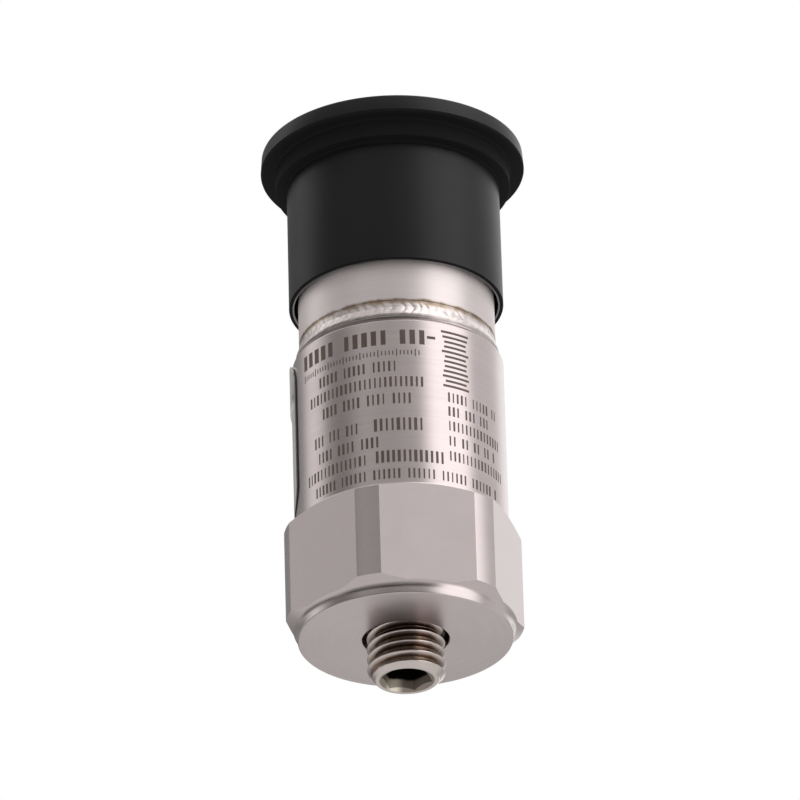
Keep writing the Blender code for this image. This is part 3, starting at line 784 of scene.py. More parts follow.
def round_off(corners: Sequence[Corner], index: int, steps: int) -> list[tuple[float, float]]:
    """The arc that rounds a corner, or the corner itself.

    Args:
        corners: The outline.
        index: Which corner.
        steps: How many steps the arc has.

    Returns:
        Points (radius, height) along the outline.
    """
    corner = corners[index]
    here = Vector((corner.radius, corner.height))
    if corner.fillet == 0.0:
        return [tuple(here)]
    before_corner = corners[index - 1]
    after_corner = corners[(index + 1) % len(corners)]
    before = Vector((before_corner.radius, before_corner.height)) - here
    after = Vector((after_corner.radius, after_corner.height)) - here
    half_angle = before.angle(after) / 2
    most = MOST_FILLET_SHARE * min(before.length, after.length)
    reach = min(corner.fillet / math.tan(half_angle), most)
    radius = reach * math.tan(half_angle)
    middle = (before.normalized() + after.normalized()).normalized()
    centre = here + middle * radius / math.sin(half_angle)
    first = here + before.normalized() * reach - centre
    last = here + after.normalized() * reach - centre
    sweep = first.angle(last)
    points = []
    for step in range(steps + 1):
        share = step / steps
        arm = (first * math.sin((1 - share) * sweep) + last * math.sin(share * sweep)) / math.sin(sweep)
        points.append(tuple(centre + arm))
    return points


def turned_rings(corners: Sequence[Corner], columns: int, steps: int = 6) -> list[Ring]:
    """The rings of a turned outline.

    Args:
        corners: The outline's corners.
        columns: How many columns the rings have.
        steps: How many steps each fillet has.

    Returns:
        The rings in the outline's order.
    """
    arcs = [round_off(corners, index, steps) for index in range(len(corners))]
    rings = []
    for index, corner in enumerate(corners):
        following = arcs[(index + 1) % len(arcs)][0]
        start = arcs[index][-1]
        steps_on = [tuple(np.add(start, np.subtract(following, start) * row / corner.rows))
                    for row in range(1, corner.rows)]
        for radius, height in arcs[index] + steps_on:
            rings.append(Ring(*(np.full(columns, value) for value in (radius, height, corner.band))))
    return rings


def surface(name: str, rings: Sequence[Ring], azimuths: np.ndarray, looped: bool = False) -> bpy.types.Object:
    """A closed object through rings of points.

    Args:
        name: The object's name.
        rings: The rings. A ring of radius 0 is a pole.
        azimuths: The azimuth of each column.
        looped: Whether the last ring joins the first one.

    Returns:
        The new object, with its doubles merged and its faces pointing out.
    """
    columns = len(azimuths)
    points = [np.column_stack((ring.radius * np.sin(azimuths), -ring.radius * np.cos(azimuths), ring.height))
              for ring in rings]
    faces = []
    bands = []
    here = np.arange(columns)
    beside = (here + 1) % columns
    for index in range(len(rings) if looped else len(rings) - 1):
        low = index * columns
        high = (index + 1) % len(rings) * columns
        faces.extend(np.column_stack((low + here, low + beside, high + beside, high + here)).tolist())
        bands.extend(rings[index].band.tolist())
    mesh = bpy.data.meshes.new(name)
    mesh.from_pydata(np.concatenate(points).tolist(), [], faces)
    mesh.polygons.foreach_set("material_index", bands)
    close_up(mesh)
    return put_in(name, mesh)


def put_in(name: str, data: bpy.types.ID) -> bpy.types.Object:
    """Puts a new object with a mesh or a camera into the scene."""
    obj = bpy.data.objects.new(name, data)
    bpy.context.scene.collection.objects.link(obj)
    return obj


def close_up(mesh: bpy.types.Mesh) -> None:
    """Merges a mesh's doubles, turns its faces outwards and smooths it."""
    work = bmesh.new()
    work.from_mesh(mesh)
    bmesh.ops.remove_doubles(work, verts=work.verts, dist=MERGE_DISTANCE)
    bmesh.ops.recalc_face_normals(work, faces=work.faces)
    work.to_mesh(mesh)
    work.free()
    smooth(mesh)


def smooth(mesh: bpy.types.Mesh) -> None:
    """Shades a mesh smooth between its sharp edges."""
    mesh.shade_smooth()
    mesh.set_sharp_from_angle(angle=SHARP_ANGLE)


def bake(obj: bpy.types.Object) -> bpy.types.Object:
    """Turns what an object's modifiers make of it into its own plain mesh."""
    depsgraph = bpy.context.evaluated_depsgraph_get()
    mesh = bpy.data.meshes.new_from_object(obj.evaluated_get(depsgraph), depsgraph=depsgraph)
    obj.modifiers.clear()
    obj.data = mesh
    mesh.name = obj.name
    return obj


def cut_away(obj: bpy.types.Object, *tools: bpy.types.Object) -> None:
    """Cuts closed tools out of an object, removes them and smooths what is left."""
    for tool in tools:
        cut = obj.modifiers.new(tool.name, "BOOLEAN")
        cut.operation = "DIFFERENCE"
        cut.object = tool
        cut.solver = "EXACT"
    bake(obj)
    for tool in tools:
        bpy.data.objects.remove(tool)
    smooth(obj.data)


def dress(obj: bpy.types.Object, *finishes: Finish) -> None:
    """Gives an object the materials of some finishes, in the order of its bands."""
    if obj.data.materials:
        obj.data.materials.clear()
    for finish in finishes:
        obj.data.materials.append(finish.material())


def dress_some(obj: bpy.types.Object, finish: Finish,
               chosen: Callable[[bpy.types.MeshPolygon], bool]) -> None:
    """Gives the faces that a test chooses a second finish.

    Args:
        obj: The object, which has one finish so far.
        finish: The second finish.
        chosen: The test.
    """
    obj.data.materials.append(finish.material())
    for face in obj.data.polygons:
        face.material_index = int(chosen(face))


def hand_over(obj: bpy.types.Object, body: Body, slot: Slot, *nodes: str) -> None:
    """Lets a finished piece ride on its body and stand for the solids that it replaces.

    Args:
        obj: The piece.
        body: The body that it moves with.
        slot: The slot for its finish; it is not used.
        nodes: The solids that it replaces.
    """
    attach(obj, body.value)
    if nodes:
        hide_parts(*nodes)
    LOG.info("%s: %d faces, on %s, for %s", obj.name, len(obj.data.polygons), body.value,
             ", ".join(nodes) or "nothing")


class ShapeGroups:
    """The geometry groups that cut, ripple and repeat, each built the first time it is asked for."""

    bar_columns: ClassVar[int] = 12

    @staticmethod
    def open(name: str, inputs: Sequence[Port]) -> Group:
        """Opens a group that takes geometry, values and a material, and puts out geometry."""
        geometry = Port("Geometry", kind="NodeSocketGeometry")
        group = Group("GeometryNodeTree", name,
                      [geometry, *inputs, Port("Material", kind="NodeSocketMaterial")], [geometry])
        group.tree.is_modifier = True
        return group

    @staticmethod
    def close(group: Group, geometry: Term) -> Group:
        """Ends a group with its instances made real and its material set."""
        real = group.sheet.term("GeometryNodeRealizeInstances", {0: geometry})
        feeds = {"Geometry": real, "Material": group.given["Material"]}
        group.put_out(Geometry=group.sheet.term("GeometryNodeSetMaterial", feeds))
        return group

    @staticmethod
    def polar(sheet: NodeSheet) -> tuple[Term, ...]:
        """A point's x, y, height, radius and share of a turn round the axis."""
        x, y, z = sheet.split(sheet.term("GeometryNodeInputPosition"))
        return x, y, z, sheet.math("SQRT", x * x + y * y), sheet.math("ARCTAN2", y, x) / TURN

    @classmethod
    def close_at_radius(cls, group: Group, polar: tuple[Term, ...], new_radius: Term, chosen: Term) -> Group:
        """Ends a group with its chosen points moved to a new radius.

        Args:
            group: The group.
            polar: Where its points are.
            new_radius: Where the chosen points go.
            chosen: 1 for each chosen point, 0 for the others.

        Returns:
            The group.
        """
        x, y, z, radius, _ = polar
        scale = new_radius / group.sheet.math("MAXIMUM", radius, MERGE_DISTANCE)
        place = group.sheet.join(x * scale, y * scale, z)
        feeds = {"Geometry": group.given["Geometry"], "Selection": chosen, "Position": place}
        return cls.close(group, group.sheet.term("GeometryNodeSetPosition", feeds))

    @classmethod
    @cache
    def cut_thread(cls) -> Group:
        """Cuts a right-hand V thread into a turned blank between two heights."""
        group = cls.open("cut_thread", [
            Port("Major Radius"), Port("Depth"), Port("Pitch", MM), Port("Low"), Port("High"),
            Port("Crest Flat", 0.125), Port("Root Flat", 0.25), Port("Start")])
        sheet, given = group.sheet, group.given
        polar = cls.polar(sheet)
        _, _, z, radius, share = polar
        turns = sheet.math("FRACT", z / given["Pitch"] + (given["Start"] - share))
        wave = sheet.math("ABSOLUTE", sheet.swing(turns, 1.0))
        rise = sheet.ease(wave, given["Root Flat"], 1.0 - given["Crest Flat"], "LINEAR")
        cut_radius = given["Major Radius"] - given["Depth"] * (1.0 - rise)
        inside = (z > given["Low"]) * (z < given["High"])
        chosen = inside * (radius > given["Major Radius"] - given["Depth"])
        return cls.close_at_radius(group, polar, sheet.math("MINIMUM", radius, cut_radius), chosen)

    @classmethod
    @cache
    def ripple_bead(cls) -> Group:
        """Raises overlapping ripples along a weld bead, with puddles of uneven size."""
        group = cls.open("ripple_bead", [
            Port("Ripples", 90.0), Port("Ripple Height"), Port("Sharpness", 0.6), Port("Lag", 0.6),
            Port("Waver", 1.6), Port("Wavers Per Mm", 0.8), Port("Seed", 3.0),
            Port("Puddle Height"), Port("Puddles Per Mm", 1.7), Port("Puddle Seed", 8.0),
            Port("Low"), Port("High"), Port("Inner Radius")])
        sheet, given = group.sheet, group.given
        polar = cls.polar(sheet)
        _, _, z, radius, share = polar
        spot = sheet.in_millimetres(sheet.term("GeometryNodeInputPosition"))
        off = sheet.swing((z - given["Low"]) / (given["High"] - given["Low"]), 1.0)
        off_squared = off * off
        crown = sheet.math("MAXIMUM", 1.0 - off_squared, 0.0)
        waver = sheet.noise(spot, given["Wavers Per Mm"], 2.0, given["Seed"]) * given["Waver"]
        saw = sheet.math("FRACT", share * given["Ripples"] + (off_squared * given["Lag"] + waver))
        ripple = sheet.math("POWER", saw, given["Sharpness"]) * (1.0 - saw)
        puddle = sheet.noise(spot, given["Puddles Per Mm"], 1.0, given["Puddle Seed"]) - 0.5
        lift = ripple * given["Ripple Height"] + puddle * given["Puddle Height"]
        return cls.close_at_radius(group, polar, radius + lift * crown, radius > given["Inner Radius"])

    @classmethod
    @cache
    def wrap_round(cls) -> Group:
        """Wraps a flat piece round the axis: its x runs round, its y points out and its z stays upright."""
        group = cls.open("wrap_round", [Port("Azimuth"), Port("Level"), Port("Radius")])
        sheet, given = group.sheet, group.given
        x, y, z = sheet.split(sheet.term("GeometryNodeInputPosition"))
        out = given["Radius"] + y
        angle = given["Azimuth"] + x / given["Radius"]
        place = sheet.join(out * sheet.math("SINE", angle), out * sheet.math("COSINE", angle) * -1.0,
                           z + given["Level"])
        feeds = {"Geometry": given["Geometry"], "Position": place}
        return cls.close(group, sheet.term("GeometryNodeSetPosition", feeds))

    @classmethod
    @cache
    def wrapped_bars(cls) -> Group:
        """Repeats upright bars of mixed widths in a row and wraps the row round the axis."""
        whole = "NodeSocketInt"
        group = cls.open("wrapped_bars", [
            Port("Bars", 10, whole), Port("Spacing"), Port("Rise"), Port("Blank Every", 99, whole),
            Port("Least Width"), Port("Most Width"), Port("Height"), Port("Long Height"),
            Port("Long Every", 5, whole), Port("Azimuth"), Port("Level"), Port("Radius"), Port("Thickness"),
            Port("Sink"), Port("Seed", 1, whole)])
        sheet, given = group.sheet, group.given
        index = sheet.term("GeometryNodeInputIndex")
        line = sheet.term("GeometryNodeMeshLine", {
            "Count": given["Bars"], "Offset": sheet.join(given["Spacing"], z=given["Rise"])})
        widths = {2: given["Least Width"], 3: given["Most Width"], "ID": index, "Seed": given["Seed"]}
        width = sheet.term("FunctionNodeRandomValue", widths, 1, data_type="FLOAT")
        tall = sheet.math("MODULO", index, given["Long Every"]) < 0.5
        height = sheet.between(tall, given["Height"], given["Long Height"])
        shown = sheet.math("MODULO", index + 1.0, given["Blank Every"]) > 0.5
        bar = sheet.term("GeometryNodeMeshCube", {"Size": (1.0, 1.0, 1.0), "Vertices X": cls.bar_columns})
        row = sheet.term("GeometryNodeInstanceOnPoints", {
            "Points": line, "Selection": shown, "Instance": bar,
            "Scale": sheet.join(width, given["Thickness"], height)})
        real = sheet.term("GeometryNodeRealizeInstances", {0: row})
        out = sheet.join(y=given["Thickness"] / 2.0 - given["Sink"])
        lifted = sheet.term("GeometryNodeSetPosition", {"Geometry": real, "Offset": out})
        passed_on = {name: given[name] for name in ("Azimuth", "Level", "Radius", "Material")}
        wrapped = cls.wrap_round().use(sheet, {"Geometry": lifted, **passed_on})
        return cls.close(group, wrapped["Geometry"])


@dataclass
class Case:
    """The turned case with its milled hexagon, its cavity and the stud's blind hole."""

    face_inset: float = 0.13 * MM
    body_inset: float = 0.21 * MM
    face_height: float = 0.85 * MM
    face_edge_radius: float = 0.12 * MM
    face_fillet: float = 0.67 * MM
    hexagon_height: float = 9.17 * MM
    top_chamfer_angle: float = math.radians(28)
    bottom_chamfer_angle: float = math.radians(30.5)
    shoulder_fillet: float = 0.15 * MM
    rim_edge_radius: float = 0.14 * MM
    wall: float = 1.62 * MM
    floor_height: float = 10.588 * MM
    hole_clearance: float = 0.35 * MM
    hole_edge: float = 0.06 * MM
    hole_depth: float = 6.3 * MM
    drill_point_angle: float = math.radians(31)
    edge_break: float = 0.06 * MM
    edge_break_angle: float = math.radians(18)
    corner_sweep: float = 1.3
    flat_columns: int = 24
    corner_columns: int = 8
    turned_band: ClassVar[int] = 0
    milled_band: ClassVar[int] = 1
    faced_band: ClassVar[int] = 2
    bar_band: ClassVar[int] = 3
    painted_highlight_band: ClassVar[int] = 4
    least_angle: ClassVar[float] = 1e-6

    def __post_init__(self) -> None:
        """Takes the case's main radii from the frame."""
        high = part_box("base_housing")[1]
        self.flat_radius = high.y
        self.corner_radius = high.x
        self.rim_height = high.z
        self.flat_reach = math.acos(self.flat_radius / self.corner_radius)
        self.face_radius = self.flat_radius - self.face_inset
        self.body_radius = self.flat_radius - self.body_inset
        self.hole_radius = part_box("mounting_stud")[1].x + self.hole_clearance

    def azimuths(self) -> np.ndarray:
        """Columns that fall on the hexagon's upright edges, with more across the narrow turned corners."""
        flat = np.linspace(-self.flat_reach, self.flat_reach, self.flat_columns, endpoint=False)
        corner = np.linspace(self.flat_reach, SIXTH - self.flat_reach, self.corner_columns, endpoint=False)
        side = np.concatenate((flat, corner))
        return np.concatenate([side + number * SIXTH for number in range(6)])

    def upper_chamfer(self, radius: Union[float, np.ndarray]) -> Union[float, np.ndarray]:
        """The height of the hexagon's upper chamfer at a radius."""
        return self.hexagon_height + (self.corner_radius - radius) * math.tan(self.top_chamfer_angle)

    def lower_chamfer(self, radius: Union[float, np.ndarray]) -> Union[float, np.ndarray]:
        """The height of the hexagon's lower chamfer at a radius."""
        return self.face_height + (radius - self.face_radius) * math.tan(self.bottom_chamfer_angle)

    def hexagon_rings(self, azimuths: np.ndarray) -> list[Ring]:
        """The upper and lower ends of the six flats, where they run out on the chamfers."""
        aside = from_flat(azimuths)
        radius = np.minimum(self.flat_radius / np.cos(aside), self.corner_radius)
        starts_flat = (np.abs(aside) < self.flat_reach - self.least_angle) | (
            np.abs(aside + self.flat_reach) < self.least_angle)
        band = np.where(starts_flat, self.milled_band, self.bar_band)
        return [Ring(radius, self.upper_chamfer(radius), band),
                Ring(radius, self.lower_chamfer(radius), np.full(len(azimuths), self.turned_band))]

    def round_corners(self, mesh: bpy.types.Mesh) -> None:
        """Shades the hexagon's narrow upright corners as if they were rounded further."""
        normals = [Vector(corner.vector) for corner in mesh.corner_normals]
        for face in mesh.polygons:
            if face.material_index != self.bar_band:
                continue
            for loop in face.loop_indices:
                place = mesh.vertices[mesh.loops[loop].vertex_index].co
                azimuth = math.atan2(place.x, -place.y)
                corner = (math.floor(azimuth / SIXTH) + 0.5) * SIXTH
                turned = corner + self.corner_sweep * (azimuth - corner)
                normals[loop] = direction(turned, 0.0)
        mesh.normals_split_custom_set(normals)

    def build(self) -> bpy.types.Object:
        """Builds the case.

        Returns:
            The dressed case, which stands for the solid base_housing.
        """
        azimuths = self.azimuths()
        cavity_radius = self.body_radius - self.wall
        tip = self.hole_depth + self.hole_radius * math.tan(self.drill_point_angle)
        above = [
            Corner(0.0, self.floor_height),
            Corner(cavity_radius, self.floor_height, self.shoulder_fillet),
            Corner(cavity_radius, self.rim_height),
            Corner(self.body_radius, self.rim_height, self.rim_edge_radius),
            Corner(self.body_radius, self.upper_chamfer(self.body_radius), self.shoulder_fillet),
            Corner(self.corner_radius, self.hexagon_height),
        ]
        below = [
            Corner(self.corner_radius, self.lower_chamfer(self.corner_radius)),
            Corner(self.face_radius, self.face_height, self.face_fillet),
            Corner(self.face_radius, 0.0, self.face_edge_radius, band=self.faced_band),
            Corner(self.hole_radius + self.hole_edge, 0.0),
            Corner(self.hole_radius, self.hole_edge),
            Corner(self.hole_radius, self.hole_depth),
            Corner(0.0, tip),
        ]
        rings = turned_rings(above, len(azimuths))[:-1]
        rings += self.hexagon_rings(azimuths)
        rings += turned_rings(below, len(azimuths))[1:]
        case = surface("case", rings, azimuths)
        bevel = case.modifiers.new("edge_break", "BEVEL")
        bevel.width = self.edge_break
        bevel.segments = 2
        bevel.angle_limit = self.edge_break_angle
        # The edge breaks take the lighter colour of the painted edge highlight.
        bevel.material = self.painted_highlight_band
        bevel.harden_normals = True
        dress(case, TURNED_STEEL, MILLED_STEEL, FACED_STEEL, BAR_STEEL, PAINTED_EDGE_HIGHLIGHT)
        bake(case)
        self.round_corners(case.data)
        hand_over(case, Body.SENSOR, Slot.CASE, "base_housing")
        return case


@dataclass
class MountingStud:
    """The threaded stud with its chamfered end and broached hexagon socket."""

    pitch: float = 25.4 / 28 * MM
    thread_depth: float = 0.58
    thread_start: float = 0.35
    crest_flat: float = 0.06
    end_chamfer: float = 0.62 * MM
    end_radius: float = 0.07 * MM
    socket_across_flats: float = 3.57 * MM
    socket_depth: float = 3.0 * MM
    socket_point_angle: float = math.radians(25)
    countersink_diameter: float = 4.4 * MM
    countersink_angle: float = math.radians(30)
    side_columns: int = 24
    rows_per_pitch: int = 26

    def rows(self, length: float) -> int:
        """How many rows a length of the thread needs."""
        return round(length / self.pitch * self.rows_per_pitch)

    def socket_rings(self, azimuths: np.ndarray, tip: float) -> list[Ring]:
        """The socket's point, its bottom and the edge where its six flats run out in the countersink."""
        across = self.socket_across_flats / 2
        socket = across / np.cos(from_flat(azimuths))
        sunk = tip + (self.countersink_diameter / 2 - socket) * math.tan(self.countersink_angle)
        bottom = tip + self.socket_depth
        level, plain = np.ones(len(azimuths)), np.zeros(len(azimuths), int)
        return [Ring(0.0 * level, (bottom + across * math.tan(self.socket_point_angle)) * level, plain),
                Ring(socket, bottom * level, plain),
                Ring(socket, sunk, plain)]

    def build(self) -> bpy.types.Object:
        """Builds the stud.

        Returns:
            The dressed stud, which stands for the solid mounting_stud.
        """
        low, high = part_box("mounting_stud")
        radius, tip, top = high.x, low.z, high.z
        azimuths = even_columns(6 * self.side_columns) - SIXTH / 2
        mouth = self.countersink_diameter / 2
        end = radius - self.end_chamfer
        rings = self.socket_rings(azimuths, tip)
        outline = [
            Corner(self.socket_across_flats / 2, float(rings[-1].height.max())),
            Corner(mouth, tip, self.end_radius / 2),
            Corner(end, tip, self.end_radius, self.rows(self.end_chamfer)),
            Corner(radius, tip + self.end_chamfer, rows=self.rows(top - tip - 2 * self.end_chamfer)),
            Corner(radius, top - self.end_chamfer, rows=self.rows(self.end_chamfer)),
            Corner(end, top),
            Corner(0.0, top),
        ]
        rings += turned_rings(outline, len(azimuths))[1:]
        stud = surface("stud", rings, azimuths)
        ShapeGroups.cut_thread().shape(stud, {
            "Major Radius": radius, "Depth": self.thread_depth * self.pitch, "Pitch": self.pitch,
            "Low": tip + self.end_radius, "High": top, "Crest Flat": self.crest_flat,
            "Start": self.thread_start, "Material": STUD_STEEL.material()})
        points = bake(stud).data.vertices

        def in_socket(face: bpy.types.MeshPolygon) -> bool:
            """Whether a face is within the countersink and below the stud's upper end."""
            reach = max(math.hypot(*points[corner].co[:2]) for corner in face.vertices)
            return reach < mouth - MERGE_DISTANCE and face.center.z < top - self.pitch

        dress_some(stud, SOCKET_WALL, in_socket)
        hand_over(stud, Body.SENSOR, Slot.STUD, "mounting_stud")
        return stud


@dataclass
class WeldBead:
    """The bead between the case and the neck: a rippled roll that stands on the case's rim."""

    seam: float = 0.02 * MM
    root_depth: float = 0.6 * MM
    lip_inset: float = 0.26 * MM
    lip_slope: float = 0.07 * MM
    lip_height: float = 0.56 * MM
    groove_height: float = 0.26 * MM
    groove_depth: float = 0.1 * MM
    groove_taper: float = 0.75
    line_depth: float = 0.025 * MM
    belly_rise: float = 0.3 * MM
    belly_height: float = 0.7 * MM
    belly_rows: int = 4
    crown_rise: float = 0.03 * MM
    crown_height: float = 1.36 * MM
    crown_rows: int = 14
    roll_fillet: float = 0.5 * MM
    toe_fillet: float = 0.03 * MM
    toe_rows: int = 6
    fillet_steps: int = 10
    ripples: int = 68
    ripple_height: float = 0.12 * MM
    ripple_stop: float = 0.1 * MM
    puddle_height: float = 0.06 * MM
    columns: int = 768

    def build(self) -> bpy.types.Object:
        """Builds the bead.

        Returns:
            The dressed bead, which stands for the solid closure_weld.
        """
        case = Case()
        neck_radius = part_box("connector_shell")[1].x
        low = case.rim_height + self.seam
        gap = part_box("closure_weld")[0].z - case.rim_height
        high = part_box("closure_weld")[1].z + gap - self.seam
        root = neck_radius - self.root_depth + gap
        lip = case.body_radius - self.lip_inset
        lip_low = lip - self.lip_slope
        line_radius = (lip + lip_low) / 2
        line_height = low + (self.groove_height + self.lip_height) / 2
        corners = [
            Corner(root, high),
            Corner(neck_radius - self.seam, high, self.toe_fillet, self.toe_rows),
            Corner(neck_radius + self.crown_rise, low + self.crown_height, self.roll_fillet, self.crown_rows),
            Corner(neck_radius + self.belly_rise, low + self.belly_height, self.roll_fillet, self.belly_rows),
            Corner(lip - self.line_depth, low + self.lip_height),
            Corner(lip, low + self.lip_height - self.line_depth),
            Corner(line_radius, line_height + self.line_depth),
            Corner(line_radius - self.line_depth, line_height),
            Corner(line_radius, line_height - self.line_depth),
            Corner(lip_low, low + self.groove_height),
            Corner(lip_low - self.groove_depth, low + self.groove_taper * self.groove_height),
            Corner(lip_low - self.groove_depth, low),
            Corner(root, low),
        ]
        rings = turned_rings(corners, self.columns, self.fillet_steps)
        bead = surface("weld_bead", rings, even_columns(self.columns), looped=True)
        ShapeGroups.ripple_bead().shape(bead, {
            "Ripples": float(self.ripples), "Ripple Height": self.ripple_height,
            "Puddle Height": self.puddle_height, "Low": low + self.lip_height,
            "High": high - self.ripple_stop, "Inner Radius": neck_radius - self.seam / 2,
            "Material": WELD_BEAD.material()})
        bake(bead)
        hand_over(bead, Body.SENSOR, Slot.WELD, "closure_weld")
        return bead


@dataclass
class Connector:
    """The neck and receptacle with its cut thread and keyway, the glass seal and the two pins."""

    spigot_wall: float = 0.7 * MM
    spigot_clearance: float = 0.3 * MM
    wall: float = 1.4375 * MM
    ledge_width: float = 1.8 * MM
    ledge_thickness: float = 0.6 * MM
    seat_depth: float = 0.6 * MM
    relief_width: float = 0.9 * MM
    relief_depth: float = 0.55 * MM
    thread_length: float = 10.0 * MM
    pitch: float = 25.4 / 24 * MM
    thread_depth: float = 0.53
    mouth_chamfer: float = 0.4 * MM
    keyway_width: float = 2.1 * MM
    keyway_depth: float = 0.7 * MM
    keyway_length: float = 6.2 * MM
    keyway_overshoot: float = 1.0 * MM
    gap: float = 0.3 * MM
    meniscus: float = 0.12 * MM
    bore_edge_radius: float = 0.1 * MM
    mouth_edge_radius: float = 0.05 * MM
    relief_fillet: float = 0.2 * MM
    relief_edge_radius: float = 0.06 * MM
    foot_edge_radius: float = 0.03 * MM
    chamfer_rows: int = 8
    relief_rows: int = 6
    thread_run_in: float = 0.02 * MM
    seal_fillet: float = 0.5 * MM
    pin_tip_radius: float = 0.5 * MM
    pin_edge_radius: float = 0.05 * MM
    pin_tail_radius: float = 0.1 * MM
    pin_tail_share: float = 0.63
    columns: int = 192
    pin_columns: int = 64
    rows_per_pitch: int = 20

    def __post_init__(self) -> None:
        """Takes the connector's main sizes from the frame."""
        low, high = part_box("connector_shell")
        self.neck_radius = high.x
        self.foot = low.z
        self.mouth = high.z
        self.bore_radius = self.neck_radius - self.wall
        self.neck_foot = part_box("closure_weld")[1].z + self.gap
        self.glass_low, self.glass_top = (corner.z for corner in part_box("glass_seal"))

    def build_shell(self) -> bpy.types.Object:
        """Builds the neck and receptacle.

        Returns:
            The dressed shell, which stands for the solid connector_shell.
        """
        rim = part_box("base_housing")[1].z + self.gap
        spigot_radius = Case().body_radius - Case.wall - self.spigot_clearance
        spigot_bore = spigot_radius - self.spigot_wall
        ledge_top = self.glass_low - self.gap
        relief_top = self.mouth - self.thread_length
        rows = round((self.mouth - self.mouth_chamfer - relief_top) / self.pitch * self.rows_per_pitch)
        seat_radius = self.neck_radius - self.seat_depth
        relief_radius = self.neck_radius - self.relief_depth
        relief_low = relief_top - self.relief_width
        ledge_radius = self.bore_radius - self.ledge_width
        corners = [
            Corner(self.bore_radius, self.mouth, self.bore_edge_radius),
            Corner(self.neck_radius - self.mouth_chamfer, self.mouth, self.mouth_edge_radius,
                   self.chamfer_rows),
            Corner(self.neck_radius, self.mouth - self.mouth_chamfer, rows=rows),
            Corner(self.neck_radius, relief_top, rows=self.relief_rows),
            Corner(relief_radius, relief_top, self.relief_fillet / 2),
            Corner(relief_radius, relief_low, self.relief_fillet),
            Corner(self.neck_radius, relief_low, self.relief_edge_radius),
            Corner(self.neck_radius, self.neck_foot, self.foot_edge_radius),
            Corner(seat_radius, self.neck_foot),
            Corner(seat_radius, rim),
            Corner(spigot_radius, rim),
            Corner(spigot_radius, self.foot),
            Corner(spigot_bore, self.foot),
            Corner(spigot_bore, ledge_top - self.ledge_thickness),
            Corner(ledge_radius, ledge_top - self.ledge_thickness),
            Corner(ledge_radius, ledge_top),
            Corner(self.bore_radius, ledge_top),
        ]
        shell = surface("neck", turned_rings(corners, self.columns), even_columns(self.columns), looped=True)
        ShapeGroups.cut_thread().shape(shell, {
            "Major Radius": self.neck_radius, "Depth": self.thread_depth * self.pitch, "Pitch": self.pitch,
            "Low": relief_top - self.thread_run_in / 2, "High": self.mouth - self.thread_run_in,
            "Material": NECK_STEEL.material()})
        bake(shell)
        self.cut_keyway(shell)
        dress_some(shell, RECEPTACLE_STEEL, lambda face: face.center.z > relief_low)
        hand_over(shell, Body.SENSOR, Slot.NECK, "connector_shell")
        return shell

    def cut_keyway(self, shell: bpy.types.Object) -> None:
        """Cuts the keyway into the receptacle's wall, on the side of +Y."""
        work = bmesh.new()
        height = self.keyway_length + self.keyway_overshoot
        place = Vector((0.0, self.bore_radius / 2 + self.keyway_depth,
                        self.mouth - self.keyway_length + height / 2))
        size = Matrix.Diagonal((self.keyway_width, self.bore_radius, height, 1.0))
        bmesh.ops.create_cube(work, size=1.0, matrix=Matrix.Translation(place) @ size)
        mesh = bpy.data.meshes.new("keyway")
        work.to_mesh(mesh)
        work.free()
        cut_away(shell, put_in("keyway", mesh))

    def build_seal(self) -> bpy.types.Object:
        """Builds the glass seal, a disc that creeps up the wall and round the two pins.

        Returns:
            The dressed seal, which stands for the solid glass_seal.
        """
        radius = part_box("glass_seal")[1].x
        low_top = self.glass_top - self.meniscus
        corners = [
            Corner(0.0, low_top),
            Corner(radius - 3 * self.meniscus, low_top, self.seal_fillet),
            Corner(radius, self.glass_top),
            Corner(radius, self.glass_low),
            Corner(0.0, self.glass_low),
        ]
        seal = surface("glass_seal_disc", turned_rings(corners, self.columns), even_columns(self.columns))
        cut_away(seal, *map(self.pin_hole, ("contact_pin_a", "contact_pin_b")))
        dress(seal, SEAL_GLASS)
        hand_over(seal, Body.SENSOR, Slot.GLASS, "glass_seal")
        return seal

    def pin_hole(self, node: str) -> bpy.types.Object:
        """What is to be cut out of the seal round a contact pin."""
        low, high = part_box(node)
        hole = self.gap / 3 + (high.x - low.x) / 2
        corners = [Corner(0.0, self.mouth), Corner(hole, self.mouth), Corner(hole, low.z), Corner(0.0, low.z)]
        return self.surface_on_pin("hole_" + node, corners, node)

    def surface_on_pin(self, name: str, corners: Sequence[Corner], node: str) -> bpy.types.Object:
        """An object that is turned round a contact pin's own axis."""
        turned = surface(name, turned_rings(corners, self.pin_columns), even_columns(self.pin_columns))
        middle = sum(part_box(node), Vector()) / 2
        turned.data.transform(Matrix.Translation((middle.x, middle.y, 0.0)))
        return turned

    def build_pin(self, node: str) -> bpy.types.Object:
        """Builds a contact pin with a domed tip, a shoulder and a solder tail.

        Args:
            node: The solid that the pin stands for.

        Returns:
            The dressed pin.
        """
        low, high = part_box(node)
        radius = (high.x - low.x) / 2
        tail = radius * self.pin_tail_share
        corners = [
            Corner(0.0, high.z),
            Corner(radius, high.z, self.pin_tip_radius),
            Corner(radius, self.glass_low, self.pin_edge_radius),
            Corner(tail, self.glass_low),
            Corner(tail, low.z, self.pin_tail_radius),
            Corner(0.0, low.z),
        ]
        pin = self.surface_on_pin(node.replace("contact_", ""), corners, node)
        dress(pin, PIN_GOLD)
        hand_over(pin, Body.SENSOR, Slot.PIN, node)
        return pin

    def build(self) -> list[bpy.types.Object]:
        """Builds the shell, the seal and both pins, and returns them."""
        return [self.build_shell(), self.build_seal(), self.build_pin("contact_pin_a"),
                self.build_pin("contact_pin_b")]


